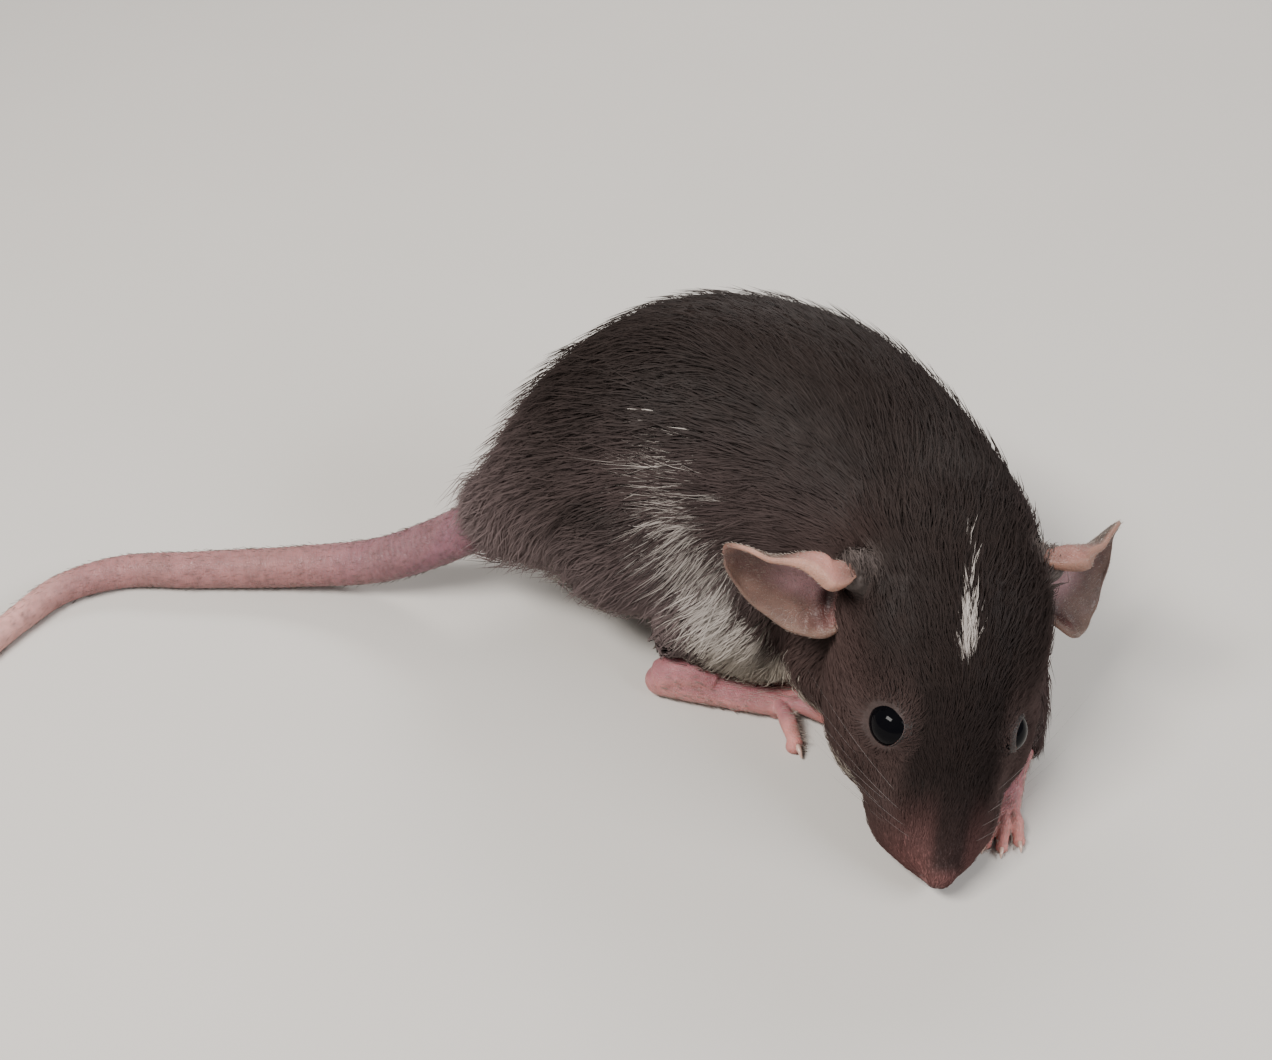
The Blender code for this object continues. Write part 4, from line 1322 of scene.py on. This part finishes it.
def hairPattern():
    # fine bent hairs strewn over a surface, lying along its "lie"
    inputs = {"Float": ("Density", "Length", "Thickness", "Lift"), "Int": ("Seed",), "Material": ("Finish",)}
    tree = Pattern("fineHairs", inputs)
    values = {"Mesh": tree.given("Geometry"), "Density": tree.given("Density"), "Seed": tree.given("Seed")}
    strewn = tree.add("GeometryNodeDistributePointsOnFaces", values)
    normal = Value(tree, strewn.socket.node.outputs["Normal"])
    lie = tree.add("GeometryNodeInputNamedAttribute", {"Name": "lie"}, data_type="FLOAT_VECTOR")
    values = {0: (-0.3, -0.3, -0.3), 1: (0.3, 0.3, 0.3), "Seed": 5}
    stray = tree.add("FunctionNodeRandomValue", values, data_type="FLOAT_VECTOR")
    way = tree.sum(tree.sum(lie, tree.scaled(normal, tree.given("Lift"))), stray)
    upright = tree.add("FunctionNodeAlignRotationToVector", {"Vector": way}, axis="Z")
    values = {"Rotation": upright, "Vector": normal}
    turned = tree.add("FunctionNodeAlignRotationToVector", values, axis="X", pivot_axis="Z")
    size = tree.add("FunctionNodeRandomValue", {2: 0.6, 3: 1.15, "Seed": 6}, 1, data_type="FLOAT")
    thickness = tree.given("Thickness")
    values = {"X": thickness, "Y": thickness, "Z": tree.given("Length") * size}
    scale = tree.add("ShaderNodeCombineXYZ", values)
    line = tree.add("GeometryNodeCurvePrimitiveLine", {"End": (0.0, 0.0, 1.0)})
    line = tree.add("GeometryNodeResampleCurve", {"Curve": line, "Count": 4})
    share = tree.add("GeometryNodeSplineParameter")
    bend = tree.add("ShaderNodeCombineXYZ", {"X": share * share * -3.0})
    line = tree.add("GeometryNodeSetPosition", {"Geometry": line, "Offset": bend})
    hair = tree.swept(line, 3, 0.5, 1.02 - share)
    values = {"Points": strewn, "Instance": hair, "Rotation": turned, "Scale": scale}
    return tree.finished(tree.add("GeometryNodeInstanceOnPoints", values))


def tubePattern():
    # a closed tube along a curve, its radius swelling a little between fine rings
    inputs = {"Float": ("Step", "Ring Spacing", "Ring Depth"), "Int": ("Sides",), "Material": ("Finish",)}
    tree = Pattern("ringedTube", inputs)
    values = {"Curve": tree.given("Geometry"), "Length": tree.given("Step")}
    line = tree.add("GeometryNodeResampleCurve", values, mode="LENGTH")
    phase = tree.add("GeometryNodeSplineParameter", output=1) / tree.given("Ring Spacing")
    swell = phase.maths("PINGPONG", phase, 0.5)
    girth = tree.add("GeometryNodeInputRadius")
    radius = girth * (1.0 - tree.given("Ring Depth") * (1.0 - swell * 2.0) ** 3.0)
    return tree.finished(tree.swept(line, tree.given("Sides"), 1.0, radius))


hairTree, tubeTree = hairPattern(), tubePattern()


def hairsOn(name, surface, plan, seed):
    values = {"Length": plan["length"] * mm, "Thickness": plan["thickness"] * mm, "Seed": seed}
    values |= {"Density": plan["density"] / mm**2, "Lift": plan["lift"], "Finish": plan["finish"]}
    return settled(addPattern(addPiece(name, surface.data.copy()), hairTree, values))


def tubesAlong(name, lines, plan, finish):
    # one tube for each poly line of x, y, z and radius
    curve = bpy.data.curves.new(name, "CURVE")
    curve.dimensions = "3D"
    for rows in lines:
        spline = curve.splines.new("POLY")
        spline.points.add(len(rows) - 1)
        for point, (*place, radius) in zip(spline.points, rows):
            point.co = (*inFrame(place), 1)
            point.radius = radius * mm
    values = {"Step": plan["step"] * mm, "Ring Spacing": plan["ringSpacing"] * mm}
    values |= {"Ring Depth": plan["ringDepth"], "Sides": plan["sides"], "Finish": finish}
    source = addPattern(addPiece(name + "_line", curve), tubeTree, values)
    mesh = meshMade(source)
    bpy.data.objects.remove(source)
    mesh.name = name
    return addPiece(name, mesh)


# Tail

tailPlan = {
    "rows": (
        (-16.0, -1.0, 16.4, 3.7),
        (-21.5, -0.9, 14.0, 3.5),
        (-28.0, -0.3, 10.0, 3.4),
        (-35.5, 0.6, 6.2, 3.25),
        (-48.7, 2.2, 3.3, 3.0),
        (-63.0, 2.3, 2.55, 2.7),
        (-76.0, 1.8, 2.2, 2.35),
        (-82.5, -1.4, 2.0, 2.15),
        (-87.0, -7.5, 1.8, 1.95),
        (-92.0, -16.0, 1.5, 1.65),
        (-99.0, -23.0, 1.1, 1.25),
        (-105.0, -26.4, 0.85, 0.95),
        (-108.4, -27.6, 0.65, 0.5),
    ),
    "stops": 200,
    "step": 0.24,
    "ringSpacing": 0.95,
    "ringDepth": 0.035,
    "sides": 36,
    "rootEnds": (-52, -30),  # along X, where each colour gives way to the next
    "tipStarts": (-90, -78),
    "mottle": 0.3,
}
tailTones = toneArrays({
    "root": (0.18, 0.078, 0.098),
    "middle": (0.275, 0.125, 0.122),
    "end": (0.50, 0.27, 0.24),
    "brown": (0.19, 0.10, 0.09),
})


def makeTail(plan):
    rows = smoothRows(plan["rows"], plan["stops"])
    tail = tubesAlong("tail_skin", [rows.tolist()], plan, tailSkin)
    points = raised(planPoints(tail), 0.03)
    movePoints(tail, points)
    outward(tail)
    colour = blend(tailTones["middle"], tailTones["root"], ramp(points[:, 0], *plan["rootEnds"]))
    colour = blend(colour, tailTones["end"], fade(points[:, 0], *plan["tipStarts"]))
    mottle = ramp(waves(points, 11.0, 41), 0.1, 0.9) * plan["mottle"]
    paint(tail, blend(colour, tailTones["brown"], mottle))
    ways = unit(np.gradient(rows[:, :3], axis=0))[::4]
    nearest = np.argmin([apart(points, spot) for spot in rows[::4, :3]], axis=0)
    setLie(tail, ways[nearest])
    return tail


tail = makeTail(tailPlan)
print("tail made")

# Fine hairs and whiskers

hairPlan = {
    "ear": {"density": 3.0, "length": 0.45, "thickness": 0.022, "lift": 0.3, "finish": fuzz},
    "tail": {"density": 1.9, "length": 1.1, "thickness": 0.03, "lift": 0.16, "finish": darkFuzz},
    "foot": {"density": 4.2, "length": 0.9, "thickness": 0.035, "lift": 0.25, "finish": fuzz},
}
fineHairs = [hairsOn(f"ear_fuzz_{word}", ears[word], hairPlan["ear"], 3 + i) for i, word in enumerate(sideOf)]
fineHairs.append(hairsOn("tail_hair", tail, hairPlan["tail"], 7))
for i, foot in enumerate(feet.values()):
    fineHairs.append(hairsOn(f"{foot.name}_fuzz", foot, hairPlan["foot"], 11 + i))

whiskerPlan = {
    "rows": 4,
    "each": 4,
    "back": 4.6,  # the first root, from the nose tip
    "out": 2.6,
    "above": 0.9,
    "backStep": 1.35,  # from one root to the next in a row
    "outStep": 0.36,
    "rowStep": 1.05,
    "short": 7.0,
    "long": 19.0,
    "radius": 0.025,
    "droop": 0.22,
    "stops": 14,
    "seed": 5,
    "step": 0.9,
    "ringSpacing": 50,
    "ringDepth": 0.0,
    "sides": 5,
}


def whiskerLine(rng, plan, side, row, k):
    back = plan["back"] + plan["backStep"] * k + rng.uniform(-0.2, 0.2)
    root = onHead(back, side * (plan["out"] + plan["outStep"] * k), plan["above"] - plan["rowStep"] * row)
    share = k / (plan["each"] - 1)
    length = plan["short"] + (plan["long"] - plan["short"]) * share * rng.uniform(0.8, 1.05)
    sweep = 0.35 + 0.35 * share + rng.uniform(-0.1, 0.1)
    rise = 0.22 - 0.2 * row + rng.uniform(-0.08, 0.08)
    way = unit(headRight * side - headForward * sweep + headUp * rise)
    drop = unit(-headForward * 0.8 - headUp * 0.1)
    t = np.linspace(0, 1, plan["stops"])[:, None]
    points = root - way * 0.6 + way * (length * t) + drop * (length * plan["droop"] * t * t)
    return np.concatenate([raised(points, 0.15), plan["radius"] * (1 - 0.88 * t)], axis=1).tolist()


def whiskerLines(plan):
    rng = np.random.default_rng(plan["seed"])
    rows, each = range(plan["rows"]), range(plan["each"])
    return [whiskerLine(rng, plan, side, row, k) for side in sideOf.values() for row in rows for k in each]


whiskers = outward(tubesAlong("whiskers", whiskerLines(whiskerPlan), whiskerPlan, whisker))
print("fine hairs made")

# Floor, lights and camera

stagePlan = {
    "floor": 3.0,
    "floorColours": ((0.50, 0.475, 0.445), (0.53, 0.505, 0.475)),
    "cameraTarget": (0.0, 0.0, 12.0),
    "elevation": 40.0,
    "distance": 245.0,
    "focal": 1747.0,  # in pixels of the picture, 1272 wide
    "pictureWidth": 1272.0,
    "lights": {
        # place in millimetres from the target, size, watts and colour
        "key": ((-230, -210, 420), 260, 4.5, (1.0, 0.97, 0.93)),
        "fill": ((330, -180, 260), 300, 1.5, (0.97, 0.98, 1.0)),
        "rim": ((80, 380, 330), 260, 1.6, (1.0, 0.98, 0.95)),
    },
    "slenderness": 0.45,
    "sky": (0.81, 0.80, 0.80),
    "skyStrength": 0.38,
}


def aimed(name, data, target, offset):
    # at an offset in millimetres from the target, which it faces
    item = addPiece(name, data)
    item.location = target + Vector(offset) * mm
    item.rotation_euler = (-Vector(offset)).to_track_quat("-Z", "Y").to_euler()
    return item


def makeStage(plan):
    reach = plan["floor"]
    mesh = bpy.data.meshes.new("floor")
    corners = [(-reach, -reach, 0), (reach, -reach, 0), (reach, reach, 0), (-reach, reach, 0)]
    mesh.from_pydata(corners, [], [(0, 1, 2, 3)])
    dull = {"Specular IOR Level": 0.2}
    mesh.materials.append(plainFinish("floor", dull, plan["floorColours"], (0.02, 4), (0.8, 0.9), 0.5))
    addPiece("floor", mesh)
    target = Vector(inFrame(plan["cameraTarget"]))
    for name, (place, size, watts, colour) in plan["lights"].items():
        light = bpy.data.lights.new(name, "AREA")
        light.shape = "RECTANGLE"
        light.size = size * mm
        light.size_y = size * plan["slenderness"] * mm
        light.energy = watts
        light.color = colour
        aimed(name, light, target, place)
    world = bpy.data.worlds.new("sky")
    world.use_nodes = True
    background = world.node_tree.nodes["Background"].inputs
    background["Color"].default_value = (*plan["sky"], 1)
    background["Strength"].default_value = plan["skyStrength"]
    bpy.context.scene.world = world
    tilt = math.radians(plan["elevation"])
    camera = bpy.data.cameras.new("camera")
    camera.sensor_width = 36
    camera.lens = plan["focal"] / plan["pictureWidth"] * camera.sensor_width
    camera.clip_start = 0.005
    back = np.array([0, -math.cos(tilt), math.sin(tilt)])
    bpy.context.scene.camera = aimed("camera", camera, target, back * plan["distance"])


makeStage(stagePlan)

# Every piece rides on the root, grouped under coat, eye and skin, and the frame's parts that the pieces stand
# in for are hidden

slots = {
    "coat": [skin, *coatPieces, *fineHairs, whiskers],
    "eye": list(eyes.values()),
    "skin": [*lids.values(), *ears.values(), *feet.values(), tail, *claws.values()],
}
for name, pieces in slots.items():
    for piece in pieces:
        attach(piece, "root")
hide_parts(*skinPlan["nodes"])
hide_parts("tail_1", "tail_2", "tail_3", "tail_4")
for word in sideOf:
    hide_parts(f"eye_{word}")
    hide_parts(f"ear_{word}")
for node, foot in feet.items():
    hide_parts(node)
everyFace = (face for some in slots.values() for piece in some for face in piece.data.polygons)
print("triangles:", sum(len(face.vertices) - 2 for face in everyFace))
